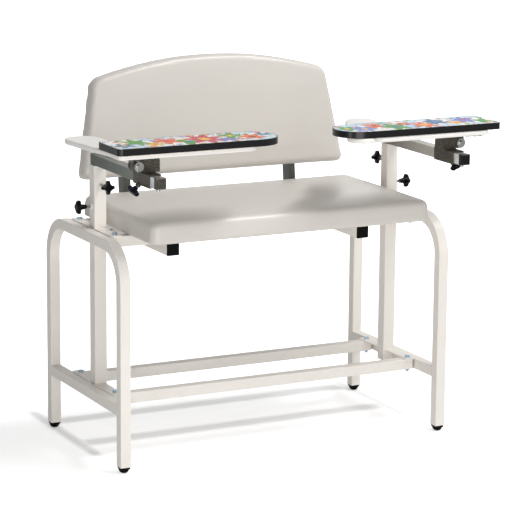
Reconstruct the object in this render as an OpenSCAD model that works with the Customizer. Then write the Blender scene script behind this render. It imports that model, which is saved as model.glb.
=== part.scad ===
// Wide phlebotomy chair: bolted square-tube frame, padded bench seat and arched back,
// and two flip-up arm boards that slide on telescoping arm bars.
// The front faces -Y and up is +Z. The origin is on the floor, under the middle of the
// box around the whole chair. Lengths are millimetres, angles degrees.

/* [End frames] */
// Depth over the legs, front to back
frame_d = 554; // [500:1:640]
// Height of the top rail's upper face above the floor
rail_top = 660; // [560:1:760]
// Side of the square frame tube
tube_w = 31.75; // [28:0.25:35]
// Wall of the square frame tube
tube_wall = 2; // [1.2:0.1:3]
// Radius of the tube's long edges
tube_edge = 2.6; // [2.1:0.1:3.2]
// Outer radius of the two bends in each end frame
bend_r = 120; // [80:1:140]
// Height of the crossbar's lower face above the floor
crossbar_z = 166; // [120:1:260]

/* [Glides] */
// Height of the glides under the legs
glide_h = 18; // [12:1:30]
// Diameter of a glide's base
glide_d = 30; // [24:1:40]
// Height of the straight band at the top of a glide
glide_flange_h = 6; // [4:0.5:8]
// Depth of the plug inside the leg
glide_plug_h = 20; // [10:1:40]

/* [Cross members] */
// Distance from the middle to the centre line of each cross tube and stretcher
span_y = 128; // [115:1:140]
// Gap between a cross member's end and the end frame
span_gap = 6; // [2:0.5:10]

/* [Tab plates] */
// Thickness of the tab plates that carry the cross members
tab_t = 3; // [2:0.5:5]
// Width of a tab plate, measured along the cross member
tab_w = 35; // [30:1:40]
// How far a tab plate laps onto the end frame's tube
tab_lap = 4; // [2:0.5:6]
// How far a tab plate runs past its bolt
tab_past = 22; // [18:1:32]
// Corner radius of a tab plate
tab_r = 7; // [3:0.5:10]
// Diameter of the spare hole near a tab plate's outer corner
tab_hole_d = 6; // [3:0.5:7]
// Length of the oval hole in the top rail beside the post
slot_l = 16; // [10:1:20]
// Width of that oval hole
slot_w = 8; // [5:0.5:9]

/* [Fasteners] */
// Diameter of the bolt shanks and knob studs
bolt_d = 8; // [6:0.5:9]
// Width of a bolt head or nut across its flats
hex_af = 13; // [12:0.5:15]
// Height of a bolt head or nut
hex_h = 5.5; // [4:0.5:7]
// Length of a bolt's tip past its nut
tip_l = 4; // [2:0.5:8]
// Radial clearance of a bolt in its hole
bolt_gap = 0.25; // [0.1:0.05:0.4]
// Radial clearance of a turning stud or pivot
turn_gap = 0.05; // [0.02:0.01:0.09]

/* [Seat] */
// Width of the seat
seat_w = 894; // [800:1:1100]
// Gap between the seat's side and each arm post
seat_gap = 16.15; // [8:0.05:30]
// Distance from the middle to the seat's front edge
seat_front = 307; // [280:1:330]
// Distance from the middle to the seat's rear edge
seat_rear = 198; // [180:1:200]
// Height of the seat at its edge, from the board's underside
seat_t = 61; // [50:1:80]
// Extra height of the crown at the middle of the seat
seat_crown = 8; // [2:0.5:14]
// Corner radius of the seat in plan
seat_r = 26; // [18:1:40]
// Radius of the upper edge all round the seat
seat_edge = 17; // [10:0.5:18]
// Thickness of the plywood seat board
seat_board_t = 12; // [9:1:18]
// How far the padding stands out past the boards
pad_wrap = 9; // [6:0.5:12]

/* [Seat runners] */
// Side of the square tube of the two runners under the cross tubes
runner_w = 38.1; // [34:0.1:42]
// Distance from the middle to each runner's centre line
runner_x = 311; // [290:1:330]
// Distance from the middle to the runners' rear ends
runner_rear = 300; // [292:1:310]
// Distance from the middle to each seat bolt
seat_bolt_x = 362; // [345:1:420]
// Thickness of the flange on a plastic tube cap
cap_t = 3; // [1.5:0.5:4]
// Depth of a plastic tube cap inside its tube
cap_plug = 14; // [8:1:20]

/* [Backrest] */
// Lean of the backrest from upright
lean = 6.6; // [3:0.1:9]
// Distance from the middle to the backrest's lower front edge
back_y = 206.8; // [204:0.2:212]
// Height of the backrest's lower edge above the rail
back_rise = 99.6; // [85:0.2:130]
// Half the width of the backrest at its lower edge
back_low_half = 440; // [400:1:450]
// Half the width of the backrest at its upper corners
back_top_half = 388; // [350:1:420]
// Height of the upper corners above the lower edge, along the back
back_corner_h = 296; // [250:1:320]
// Height of the arch's top above the lower edge, along the back
back_apex_h = 356; // [335:1:380]
// Thickness of the backrest at its edge
back_t = 50; // [40:1:65]
// Extra thickness of the crown at the middle of the backrest
back_crown = 7; // [2:0.5:12]
// Radius of the backrest's lower corners
back_low_r = 27; // [21:1:40]
// Radius of the backrest's upper corners
back_top_r = 36; // [25:1:50]
// Radius of the front edge all round the backrest
back_edge = 18; // [10:0.5:19]
// Thickness of the plywood back board
back_board_t = 12; // [9:1:16]
// Thickness of the cover sheet on the backrest's rear
cover_t = 1.6; // [0.8:0.2:3]
// How far the cover sheet stays inside the backrest's outline
cover_inset = 4; // [2:0.5:6]

/* [Back uprights] */
// Width of an upright seen from the front
upright_w = 25.4; // [20:0.1:30]
// Depth of an upright, front to back
upright_d = 38.1; // [30:0.1:42]
// Height of an upright's top above the backrest's lower edge, along the back
upright_top = 235; // [200:1:260]
// Height of the lower back bolts above the backrest's lower edge
back_bolt_low = 60; // [40:1:80]
// Height of the upper back bolts above the backrest's lower edge
back_bolt_high = 195; // [150:1:196]

/* [Arm posts and bars] */
// Side of the square arm post
post_w = 38.1; // [37:0.1:42]
// Height of the post's top above the rail
post_rise = 184; // [160:1:230]
// Side of the square arm bar tube
bar_w = 31.75; // [28:0.25:32.5]
// Wall of the arm bar tube
bar_wall = 2; // [1.2:0.1:3]
// Clearance on each side of the arm bar in the post and in the sleeve
slide_gap = 0.3; // [0.1:0.05:0.5]
// Length of the bar's upright leg inside the post
insert_l = 290; // [255:1:320]
// Distance from the post's middle to the front of the bar's black cap
bar_front = 440; // [430:1:470]
// Thickness of the black cap on the bar's front end
bar_cap_t = 12; // [6:0.5:16]
// Radius of the rounded edges on the bar's cap
bar_cap_r = 3; // [2.7:0.1:4]

/* [Slide sleeve and hinge] */
// Side of the square sleeve that slides on the arm bar
sleeve_w = 38.1; // [37:0.1:42]
// Length of the sleeve
sleeve_l = 104; // [90:1:110]
// Distance from the arm bar's front end back to the sleeve
sleeve_back = 42; // [38:1:46]
// Distance from the sleeve's front end back to the hinge's middle
hinge_back = 58; // [53:1:62]
// Length of the hinge block along the arm bar
block_l = 42; // [36:1:50]
// Width of the hinge block across the arm bar
block_w = 48; // [42:1:52]
// Height of the hinge block above the sleeve
block_h = 47.5; // [42:0.5:55]
// Thickness of an ear of the hinge block
ear_t = 6; // [4:0.5:8]
// Radius of the ears round the pivot
ear_r = 15; // [12:0.5:16]
// Height of the pivot above the sleeve
pivot_rise = 17; // [16:0.5:20]
// Distance from the hinge block's outer face to the pivot
pivot_out = 15; // [14:0.5:18]
// Radius of the flip leaf's barrel
barrel_r = 13.5; // [10:0.5:13.5]
// Thickness of the flip leaf's plate under the platform
leaf_t = 5; // [3:0.5:6]
// Reach of the flip leaf's plate past the pivot
leaf_out = 47; // [35:1:50]
// Length of the flip leaf's plate along the arm bar
leaf_l = 90; // [70:1:92]
// How far the plate's middle lies ahead of the hinge's middle
leaf_ahead = 25; // [22:1:28]
// Diameter of the pivot bolt's washers
washer_d = 28; // [22:1:30]
// Thickness of the pivot bolt's washers
washer_t = 2; // [1:0.5:3]
// Gap between parts that pass or rest on each other
rest_gap = 0.3; // [0.1:0.05:0.5]

/* [Arm platforms and boards] */
// Thickness of the moulded platform under each board
platform_t = 15; // [10:0.5:20]
// Radius of the platform's corners
platform_r = 12; // [8:1:20]
// Radius of the rounded rims above and below
platform_rim = 4.5; // [1:0.5:6]
// Thickness of the board, laminate included
board_t = 19.4; // [16:0.2:25]
// Thickness of the laminate on the board
laminate_t = 1; // [0.6:0.1:2]
// Gap between the inner ends of the two boards
board_gap = 192.8; // [120:0.2:240]
// Width of the board
board_w = 148.2; // [130:0.2:160]
// Distance from an arm post's centre line to the board's outer end
board_past = 122.2; // [108:0.2:130]
// Distance from the hinge's middle forwards to the board's front edge
board_ahead = 94.7; // [90:0.1:98]
// Radius of the board's two outer corners
board_r = 13; // [8:0.5:20]
// Thickness of the black edge moulding
edge_t = 3; // [2:0.5:4]
// Depth of the moulding's tongue inside the board
tongue_l = 8; // [4:0.5:9]
// Thickness of the moulding's tongue
tongue_t = 2.4; // [1.5:0.1:3]

/* [Clamp knobs] */
// Diameter of a knob's head over its lobes
knob_d = 40; // [34:1:42]
// Thickness of a knob's head
knob_t = 14; // [10:0.5:16]
// Diameter of a knob's hub
hub_d = 17; // [14:0.5:20]
// Length of a long hub
hub_l = 17; // [12:0.5:20]
// Length of the short hub under the sleeve
short_hub_l = 8; // [5:0.5:10]
// Height of the lower knob above the rail
knob_low_rise = 64; // [50:1:80]
// Height of the upper knob above the rail
knob_high_rise = 129; // [105:1:135]
// Distance from the post's middle to the lower knob's hub
knob_low_out = 37; // [34:0.5:45]
// Distance from the post's middle to the upper knob's hub
knob_high_out = 52; // [45:0.5:60]
// Distance from the bar's middle to the sleeve knob's hub
knob_sleeve_out = 35; // [34:0.5:37]
// Distance from the sleeve's front end back to its knob
knob_sleeve_back = 68; // [58:1:73]
// Gap between a clamp stud's tip and the arm bar
tip_gap = 0.6; // [0.4:0.1:0.8]

/* [Hidden] */

$fn = 48;
full_turn = 360;
// Overrun of every cut past the face it opens
cut = 1;
// Signs that place a piece on the left or the right of the chair
LEFT = -1;
RIGHT = 1;

// Finishes
paint = [0.90, 0.89, 0.86];
vinyl = [0.78, 0.76, 0.73];
gray_paint = [0.37, 0.39, 0.37];
satin_steel = [0.52, 0.54, 0.52];
cover_gray = [0.55, 0.58, 0.62];
bronze = [0.20, 0.19, 0.17];
zinc = [0.72, 0.74, 0.78];
black = [0.06, 0.06, 0.07];
wood = [0.72, 0.60, 0.42];
laminate = [0.80, 0.87, 0.90];

// Levels and faces of the frame, whose width leaves room for the seat between the arm posts
frame_w = seat_w + 2 * (seat_gap + post_w + tube_w);
frame_inner = frame_w / 2 - tube_w;
leg_y = frame_d / 2 - tube_w / 2;
crossbar_top = crossbar_z + tube_w;
span_x = frame_inner - span_gap;
tab_outer = frame_inner + tab_lap;
tab_inner = tab_outer - tab_w;
tab_bolt_x = frame_inner - (tab_w - tab_lap) / 2;
tab_reach = span_y + tab_past;
spare_inset = 8;
slot_y = 14;
slot_in = 8;

// Arm posts, bars and sleeves
post_x = frame_inner - post_w / 2;
post_top = rail_top + post_rise;
bore_w = bar_w + 2 * slide_gap;
bar_z = post_top + bar_w / 2;
bar_end = bar_front - bar_cap_t;
sleeve_front = bar_front - sleeve_back;
knob_sleeve_y = sleeve_front - knob_sleeve_back;
sleeve_top = bar_z + sleeve_w / 2;
inner_edge = tube_edge - tube_wall;

// Hinge
hinge_y = sleeve_front - hinge_back;
block_shift = 16;
block_out = post_x + block_shift;
block_in = block_out - block_w;
block_top = sleeve_top + block_h;
pivot_x = block_out + pivot_out;
pivot_z = sleeve_top + pivot_rise;
block_front = hinge_y + block_l / 2;
block_rear = hinge_y - block_l / 2;
leaf_gap = 0.5;
stop_back = 20;
stop_y = bar_front - stop_back;
stop_d = 6;
stop_head_d = 10;
stop_drop = 8;
boss_d = 15;
boss_l = 9;
boss_in = 23;

// Platforms and boards
platform_z = block_top + rest_gap;
board_z = platform_z + platform_t;
board_front = hinge_y + board_ahead;
board_rear = board_front - board_w;
board_in = board_gap / 2;
board_out = post_x + board_past;
screw_d = 4;
screw_head_d = 8;
screw_head_h = 2.5;
screw_l = 10;
screw_gap = 0.2;
laminate_z = board_z + board_t - laminate_t;

// Both platforms: places measured from the board's front edge, from the arm post outwards
// and from the board's inner end outwards
leg_rear_inset = 31.5;
leg_rear = board_rear + leg_rear_inset;

// The left platform: a leg that runs back along the outer side, ending in a round lobe,
// and a leg that runs inwards under the board
left_front_inset = 14.7;
left_corner_past = 114.8;
left_lobe_past = 90.8;
left_knee_past = 64.8;
left_knee_back = 70;
left_lobe_back = 242;
left_lobe_r = 51;
left_end_inset = 63.6;
left_front = board_front - left_front_inset;
left_corner_x = post_x + left_corner_past;
left_lobe_x = post_x + left_lobe_past;
left_knee_x = post_x + left_knee_past;
left_knee_y = left_front - left_knee_back;
left_lobe_y = left_knee_y - left_lobe_back;
left_leg_end_x = board_in + left_end_inset;

// The right platform: a straight leg under the board and a slanted leg across its inner end
right_front_inset = 0.7;
right_end_past = 84.8;
right_end_inset = 103.6;
right_corner_r = 18;
right_notch_r = 3;
right_lobe_inset = 68.6;
right_lobe_back = 40;
right_lobe_r = 43;
right_back_inset = 214.6;
right_back_back = 268;
right_back_r = 47;
right_front = board_front - right_front_inset;
right_end_x = post_x + right_end_past;
right_leg_end_x = board_in + right_end_inset;
right_lobe_x = board_in + right_lobe_inset;
right_lobe_y = right_front - right_lobe_back;
right_back_x = board_in + right_back_inset;
right_back_y = right_lobe_y - right_back_back;
// Steps in each round of a platform's plan and in the quarter round of its rims
plan_steps = 16;
rim_steps = 3;

// Backrest
back_z = rail_top + back_rise;
upright_x = runner_x - runner_w / 2 - upright_w / 2;
upright_front = back_t;
upright_foot_gap = 6;
upright_foot = (back_rise + tube_w + runner_w) / cos(lean) - upright_foot_gap;
upright_hole_z = -(back_rise + tube_w + runner_w / 2) / cos(lean);
upright_hole_step = 9;
back_bolt_d = 6;
back_hex_af = 10;
back_hex_h = 4;

// Reach of the whole chair, which sets the origin
reach_left = max(left_lobe_x + left_lobe_r, board_out);
reach_right = board_out;
reach_front = max(bar_front, board_front, right_lobe_y + right_lobe_r);
reach_rear = back_y + (upright_front + upright_d) * cos(lean) + (upright_top + cap_t) * sin(lean);
shift = [(reach_left - reach_right) / 2, (reach_front - reach_rear) / 2, 0];

// A block between two opposite corners
module block(low, high) {
    translate(low) cube(high - low);
}

// Rounded rectangle about the origin
module rounded(w, d, r) {
    square([w - 2 * r, d], center = true);
    square([w, d - 2 * r], center = true);
    for (x = [-1, 1], y = [-1, 1]) translate([x * (w / 2 - r), y * (d / 2 - r)]) circle(r);
}

// Section of a rectangular tube with rounded long edges
module section(w, d, wall, edge) {
    difference() {
        rounded(w, d, edge);
        rounded(w - 2 * wall, d - 2 * wall, max(edge - wall, wall / 4));
    }
}

// Straight tubes from a start to an end coordinate; the other two give the centre line
module tube_z(x, y, z0, z1, w, d, wall, edge) {
    translate([x, y, z0]) linear_extrude(z1 - z0) section(w, d, wall, edge);
}

module tube_x(x0, x1, y, z, w, wall, edge) {
    translate([x0, y, z]) rotate([0, 90, 0]) linear_extrude(x1 - x0) section(w, w, wall, edge);
}

module tube_y(x, y0, y1, z, w, wall, edge) {
    translate([x, y0, z]) rotate([-90, 0, 0]) linear_extrude(y1 - y0) section(w, w, wall, edge);
}

// A hexagon across its flats, from the origin upwards
module hex(af, h) {
    rotate(30) cylinder(h = h, d = af / cos(30), $fn = 6);
}

// A bolt whose head's underside is at the origin and whose shank runs down
module bolt(l, d = bolt_d, af = hex_af, h = hex_h) {
    hex(af, h);
    translate([0, 0, -l]) cylinder(h = l + h / 2, d = d);
}

// A nut with its upper face at the origin
module nut(gap = 0) {
    difference() {
        translate([0, 0, -hex_h]) hex(hex_af, hex_h);
        translate([0, 0, -hex_h - cut]) cylinder(h = hex_h + 2 * cut, d = bolt_d + 2 * gap);
    }
}

// Turn the local up direction to the chair's forward, rearward or sideways direction
module to_front() {
    rotate([90, 0, 0]) children();
}

module to_side(s) {
    rotate([0, s * 90, 0]) children();
}

// Every piece is placed about the chair's own origin
module placed() {
    translate(shift) children();
}

// The pattern of the four bolted joints at one level
module at_joints() {
    for (s = [LEFT, RIGHT], e = [-1, 1]) translate([s * tab_bolt_x, e * span_y, 0]) children();
}

// End frame: one tube bent into legs and a top rail
module end_frame(s) {
    color(paint) translate([s * (frame_inner + tube_w / 2), 0, 0]) difference() {
        union() {
            for (e = [0, 1]) mirror([0, e, 0]) {
                tube_z(0, leg_y, glide_h, rail_top - bend_r, tube_w, tube_w, tube_wall, tube_edge);
                translate([0, frame_d / 2 - bend_r, rail_top - bend_r]) rotate([90, 0, 90])
                    rotate_extrude(angle = 90) translate([bend_r - tube_w / 2, 0])
                        section(tube_w, tube_w, tube_wall, tube_edge);
            }
            tube_y(0, bend_r - frame_d / 2, frame_d / 2 - bend_r, rail_top - tube_w / 2,
                   tube_w, tube_wall, tube_edge);
        }
        // Oval hole beside the post; the right end frame is the left one turned round
        translate([-s * (tube_w / 2 - slot_in), -s * slot_y, rail_top - tube_wall - cut])
            linear_extrude(tube_wall + 2 * cut) {
                square([slot_w, slot_l - slot_w], center = true);
                for (e = [-1, 1]) translate([0, e * (slot_l - slot_w) / 2]) circle(d = slot_w);
            }
    }
}

module crossbar(s) {
    color(paint) tube_y(s * (frame_inner + tube_w / 2), tube_w - frame_d / 2, frame_d / 2 - tube_w,
                        crossbar_z + tube_w / 2, tube_w, tube_wall, tube_edge);
}

// Cross tube or stretcher, drilled for the tab bolts and, under the seat, for the seat bolts
module cross_member(e, z, seat) {
    color(paint) difference() {
        tube_x(-span_x, span_x, e * span_y, z + tube_w / 2, tube_w, tube_wall, tube_edge);
        for (x = seat ? [-tab_bolt_x, -seat_bolt_x, seat_bolt_x, tab_bolt_x] : [-tab_bolt_x, tab_bolt_x])
            translate([x, e * span_y, z - cut])
                cylinder(h = tube_w + 2 * cut, d = bolt_d + 2 * bolt_gap);
    }
}

// Four tab plates of one level, each beside a post and on top of the tubes
module tabs(z) {
    length = tab_reach - post_w / 2;
    color(paint) for (s = [LEFT, RIGHT], e = [-1, 1]) translate([0, 0, z]) difference() {
        translate([s * (tab_inner + tab_w / 2), e * (post_w / 2 + length / 2), 0]) linear_extrude(tab_t)
            union() {
                rounded(tab_w, length, tab_r);
                translate([0, -e * length / 4]) square([tab_w, length / 2], center = true);
            }
        translate([s * tab_bolt_x, e * span_y, -cut])
            cylinder(h = tab_t + 2 * cut, d = bolt_d + 2 * bolt_gap);
        translate([s * (tab_outer - spare_inset), e * (tab_reach - spare_inset), -cut])
            cylinder(h = tab_t + 2 * cut, d = tab_hole_d);
    }
}

// Domed glides, each with a flange that closes the leg and a plug inside it
module glides() {
    bore = tube_w - 2 * tube_wall - 2 * rest_gap;
    dome_r = glide_h - glide_flange_h;
    color(black) for (x = [-1, 1], y = [-1, 1])
        translate([x * (frame_inner + tube_w / 2), y * leg_y, 0]) {
            rotate_extrude() intersection() {
                union() {
                    translate([0, dome_r]) square([glide_d / 2, glide_flange_h]);
                    translate([glide_d / 2 - dome_r, dome_r]) circle(dome_r);
                    square([glide_d / 2 - dome_r, glide_h]);
                }
                square([glide_d / 2, glide_h]);
            }
            translate([0, 0, glide_h - glide_flange_h]) linear_extrude(glide_flange_h)
                rounded(tube_w - 2 * tube_wall, tube_w - 2 * tube_wall, tube_edge / 2);
            translate([0, 0, glide_h - cut]) linear_extrude(glide_plug_h + cut)
                rounded(bore, bore, tube_edge / 2);
        }
}

// Bolts down through the tabs and the cross members
module frame_bolts() {
    color(zinc) for (z = [rail_top, crossbar_top]) translate([0, 0, z + tab_t]) at_joints()
        bolt(tab_t + tube_w + hex_h + tip_l);
}

module frame_nuts() {
    color(zinc) for (z = [rail_top - tube_w, crossbar_z]) translate([0, 0, z]) at_joints() nut(bolt_gap / 2);
}

// Arm post: open at the top, drilled for the two clamp studs
module arm_post(s) {
    color(paint) difference() {
        translate([s * post_x, 0, crossbar_z]) linear_extrude(post_top - crossbar_z) difference() {
            rounded(post_w, post_w, tube_edge);
            rounded(bore_w, bore_w, inner_edge);
        }
        translate([s * post_x, 0, rail_top + knob_low_rise]) to_side(s)
            cylinder(h = post_w, d = bolt_d + 2 * turn_gap);
        translate([s * post_x, 0, rail_top + knob_high_rise]) rotate([0, 0, s > 0 ? 180 : 0]) to_front()
            cylinder(h = post_w, d = bolt_d + 2 * turn_gap);
    }
}

// Weld nuts that the clamp studs turn in
module post_nuts() {
    color(zinc) for (s = [LEFT, RIGHT]) {
        translate([s * frame_inner, 0, rail_top + knob_low_rise]) to_side(s)
            translate([0, 0, hex_h]) nut(turn_gap);
        translate([s * post_x, 0, rail_top + knob_high_rise]) rotate([0, 0, s > 0 ? 180 : 0]) to_front()
            translate([0, 0, post_w / 2 + hex_h]) nut(turn_gap);
    }
}

// Runner under the cross tubes, drilled for the bolts of its upright
module runner(s) {
    color(paint) difference() {
        tube_y(s * runner_x, -span_y - tube_w / 2, runner_rear, rail_top - tube_w - runner_w / 2,
               runner_w, tube_wall, tube_edge);
        upright_holes(s) cylinder(h = 2 * runner_w + upright_w, d = bolt_d + 2 * bolt_gap, center = true);
    }
}

// Places at an upright's foot where the bolts pass, with the local up direction outwards
module upright_holes(s) {
    translate([s * runner_x, back_y, back_z]) rotate([-lean, 0, 0])
        for (e = [-1, 1]) translate([0, back_t + upright_d / 2, upright_hole_z + e * upright_hole_step])
            to_side(s) children();
}

module upright(s) {
    color(gray_paint) difference() {
        translate([0, back_y, back_z]) rotate([-lean, 0, 0]) difference() {
            tube_z(s * upright_x, back_t + upright_d / 2, -upright_foot, upright_top,
                   upright_w, upright_d, tube_wall, tube_edge);
            for (z = [back_bolt_low, back_bolt_high]) translate([s * upright_x, back_t - cut, z])
                rotate([-90, 0, 0]) cylinder(h = upright_d + 2 * cut, d = back_bolt_d + 2 * bolt_gap);
        }
        upright_holes(s) cylinder(h = 2 * runner_w + upright_w, d = bolt_d + 2 * bolt_gap, center = true);
    }
}

// Bolts that clamp each upright to its runner, with nuts inside
module upright_bolts() {
    color(zinc) for (s = [LEFT, RIGHT]) upright_holes(s) {
        translate([0, 0, runner_w / 2]) bolt(runner_w + upright_w + hex_h + tip_l);
        translate([0, 0, -runner_w / 2 - upright_w]) nut();
    }
}

// Bolts from behind each upright into the back board
module back_bolts() {
    color(zinc) translate([0, back_y, back_z]) rotate([-lean, 0, 0])
        for (s = [LEFT, RIGHT], z = [back_bolt_low, back_bolt_high])
            translate([s * upright_x, back_t + upright_d, z]) rotate([-90, 0, 0])
                bolt(upright_d + cover_t + back_board_t * 2 / 3, back_bolt_d, back_hex_af, back_hex_h);
}

// Plastic caps: a flange and a plug that fills the tube's end
module cap(w, d) {
    linear_extrude(cap_t) rounded(w, d, tube_edge);
    translate([0, 0, -cap_plug]) linear_extrude(cap_plug + cap_t / 2)
        rounded(w - 2 * tube_wall - 2 * rest_gap, d - 2 * tube_wall - 2 * rest_gap, tube_edge / 2);
}

module tube_caps() {
    color(black) for (s = [LEFT, RIGHT]) {
        translate([s * runner_x, -span_y - tube_w / 2, rail_top - tube_w - runner_w / 2])
            to_front() cap(runner_w, runner_w);
        translate([s * runner_x, runner_rear, rail_top - tube_w - runner_w / 2])
            rotate([-90, 0, 0]) cap(runner_w, runner_w);
        translate([0, back_y, back_z]) rotate([-lean, 0, 0])
            translate([s * upright_x, back_t + upright_d / 2, upright_top]) cap(upright_w, upright_d);
    }
}

// Points of an arc
function facing(a) = [cos(a), sin(a)];
function arc(c, r, a0, a1, n) = [for (i = [0:n]) c + r * facing(a0 + (a1 - a0) * i / n)];

// A closed form through rings of equally many points, the first ring at the bottom
module loft(rings) {
    n = len(rings[0]);
    m = len(rings);
    points = [for (ring = rings) for (p = ring) p];
    sides = [for (k = [0:m - 2]) for (i = [0:n - 1]) for (t = [0, 1]) let (j = (i + 1) % n)
        t == 0 ? [k * n + i, (k + 1) * n + j, k * n + j] : [k * n + i, (k + 1) * n + i, (k + 1) * n + j]];
    low = [for (i = [0:n - 1]) i];
    high = [for (i = [n - 1:-1:0]) (m - 1) * n + i];
    polyhedron(points = points, faces = concat([low], sides, [high]), convexity = 4);
}

// Shares of a cushion's height and of its edge radius, from the tucked-in lower edge up;
// the crown shares run from the edge to the middle
side_height_shares = [0, 0.08, 0.3, 0.55];
side_inset_shares = [0.35, 0.1, 0, 0];
edge_angle_shares = [0, 0.25, 0.5, 0.75, 1];
crown_plan_shares = [0.97, 0.86, 0.66, 0.4, 0.12];
// How far the long sides pull in between the corners, as a share of the edge radius
draw_share = 0.16;
points_per_corner = 6;
points_per_side = 5;

// Rings of a cushion as [inset, height, plan scale]
function cushion_levels(t, edge, crown) = concat(
    [for (i = [0:len(side_height_shares) - 1])
        [side_inset_shares[i] * edge, side_height_shares[i] * (t - edge), 1]],
    [for (a = edge_angle_shares) [edge * (1 - cos(90 * a)), t - edge + edge * sin(90 * a), 1]],
    [for (q = crown_plan_shares) [edge, t + crown * (1 - q * q), q]]);

// One straight stretch, bowed inwards at its middle, without its end points
function bowed(a, b, bow) = let (d = b - a, n = [-d[1], d[0]] / norm(d))
    [for (i = [1:points_per_side]) let (f = i / (points_per_side + 1)) a + d * f + n * bow * 4 * f * (1 - f)];

// Corner centres and end angles of a plan with four rounded corners, joined into an outline
function joined(corners, inset, bow) = let (
    arcs = [for (c = corners) arc(c[0], c[1] - inset, c[2], c[3], points_per_corner)], k = len(arcs))
    [for (i = [0:k - 1]) each concat(arcs[i], let (a = arcs[i], b = arcs[(i + 1) % k])
        bowed(a[len(a) - 1], b[0], bow[i]))];

// Seat plan, anticlockwise from the rear right corner
seat_mid = (seat_rear - seat_front) / 2;
seat_half_d = (seat_rear + seat_front) / 2;
function seat_plan(inset, draw) = let (x = seat_w / 2 - seat_r, y = seat_half_d - seat_r)
    joined([[[x, y], seat_r, 0, 90], [[-x, y], seat_r, 90, 180],
            [[-x, -y], seat_r, 180, 270], [[x, -y], seat_r, 270, 360]], inset, draw * [1, 1, 1, 1]);

module seat_cushion() {
    draw = draw_share * seat_edge;
    color(vinyl) translate([0, seat_mid, rail_top]) difference() {
        loft([for (v = cushion_levels(seat_t, seat_edge, seat_crown))
            [for (p = seat_plan(v[0], draw)) [p[0] * v[2], p[1] * v[2], v[1]]]]);
        translate([0, 0, -cut]) linear_extrude(seat_board_t + rest_gap + cut)
            seat_board_plan(rest_gap);
    }
}

module seat_board_plan(grow) {
    rounded(seat_w - 2 * pad_wrap + 2 * grow, 2 * seat_half_d - 2 * pad_wrap + 2 * grow, seat_r / 2);
}

module seat_board() {
    color(wood) difference() {
        translate([0, seat_mid, rail_top]) linear_extrude(seat_board_t) seat_board_plan(0);
        for (x = [-seat_bolt_x, seat_bolt_x], y = [-span_y, span_y]) translate([x, y, rail_top - cut])
            cylinder(h = seat_board_t * 2 / 3 + cut, d = bolt_d + 2 * bolt_gap);
    }
}

// Bolts up through the cross tubes into the seat board
module seat_bolts() {
    color(zinc) for (x = [-seat_bolt_x, seat_bolt_x], y = [-span_y, span_y])
        translate([x, y, rail_top - tube_w]) rotate([180, 0, 0]) bolt(tube_w + seat_board_t * 2 / 3);
}

// Back plan: slanted sides, round corners and one arch, each corner touching both its lines
side_run = [back_top_half - back_low_half, back_corner_h];
side_dir = side_run / norm(side_run);
side_in = [-side_dir[1], side_dir[0]];
arch_rise = back_apex_h - back_corner_h;
arch_r = (back_top_half * back_top_half + arch_rise * arch_rise) / (2 * arch_rise);
arch_c = [0, back_apex_h - arch_r];
side_foot = [back_low_half, 0];
low_c = side_foot + side_in * back_low_r + side_dir * back_low_r * (1 - side_in[1]) / side_dir[1];
// The upper corner's centre lies one radius inside both the side and the arch
top_start = side_foot + side_in * back_top_r - arch_c;
top_half_b = top_start * side_dir;
top_t = -top_half_b + sqrt(top_half_b * top_half_b - top_start * top_start
        + (arch_r - back_top_r) * (arch_r - back_top_r));
top_c = arch_c + top_start + side_dir * top_t;
side_angle = atan2(-side_in[1], -side_in[0]);
arch_angle = atan2(top_c[1] - arch_c[1], top_c[0] - arch_c[0]);
arch_points = 14;
function flip(p) = [-p[0], p[1]];
function back_plan(inset) = let (
    low = arc(low_c, back_low_r - inset, -90, side_angle, points_per_corner),
    top = arc(top_c, back_top_r - inset, side_angle, arch_angle, points_per_corner),
    arch = arc(arch_c, arch_r - inset, arch_angle, 180 - arch_angle, arch_points),
    side = bowed(low[len(low) - 1], top[0], 0),
    half = concat(low, side, top),
    foot = bowed(flip(low[0]), low[0], 0))
    concat(half, [for (i = [1:arch_points - 1]) arch[i]],
           [for (i = [len(half) - 1:-1:0]) flip(half[i])], foot);

back_mid = [0, back_corner_h / 2];
// Thickness of the padding and its board, without the cover sheet
pad_t = back_t - cover_t;

module back_cushion() {
    color(vinyl) translate([0, back_y, back_z]) rotate([-lean, 0, 0]) difference() {
        // The loft's height runs forwards, from the rear face
        translate([0, pad_t, 0]) rotate([90, 0, 0])
            loft([for (v = cushion_levels(pad_t, back_edge, back_crown))
                [for (p = back_plan(v[0])) let (q = back_mid + (p - back_mid) * v[2]) [q[0], q[1], v[1]]]]);
        translate([0, pad_t + cut, 0]) rotate([90, 0, 0])
            linear_extrude(back_board_t + rest_gap + cut) polygon(back_plan(pad_wrap - rest_gap));
    }
}

// Holes for the back bolts, up to a given depth in front of the uprights
module back_holes(depth) {
    for (s = [LEFT, RIGHT], z = [back_bolt_low, back_bolt_high])
        translate([s * upright_x, back_t + cut, z]) rotate([90, 0, 0])
            cylinder(h = depth + cut, d = back_bolt_d + 2 * bolt_gap);
}

module back_board() {
    color(wood) translate([0, back_y, back_z]) rotate([-lean, 0, 0]) difference() {
        translate([0, pad_t, 0]) rotate([90, 0, 0]) linear_extrude(back_board_t) polygon(back_plan(pad_wrap));
        back_holes(cover_t + back_board_t * 2 / 3);
    }
}

// Stiff sheet that hides the board and the folded vinyl behind the backrest
module back_cover() {
    color(cover_gray) translate([0, back_y, back_z]) rotate([-lean, 0, 0]) difference() {
        translate([0, back_t, 0]) rotate([90, 0, 0]) linear_extrude(cover_t) polygon(back_plan(cover_inset));
        back_holes(cover_t + cut);
    }
}

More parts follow.
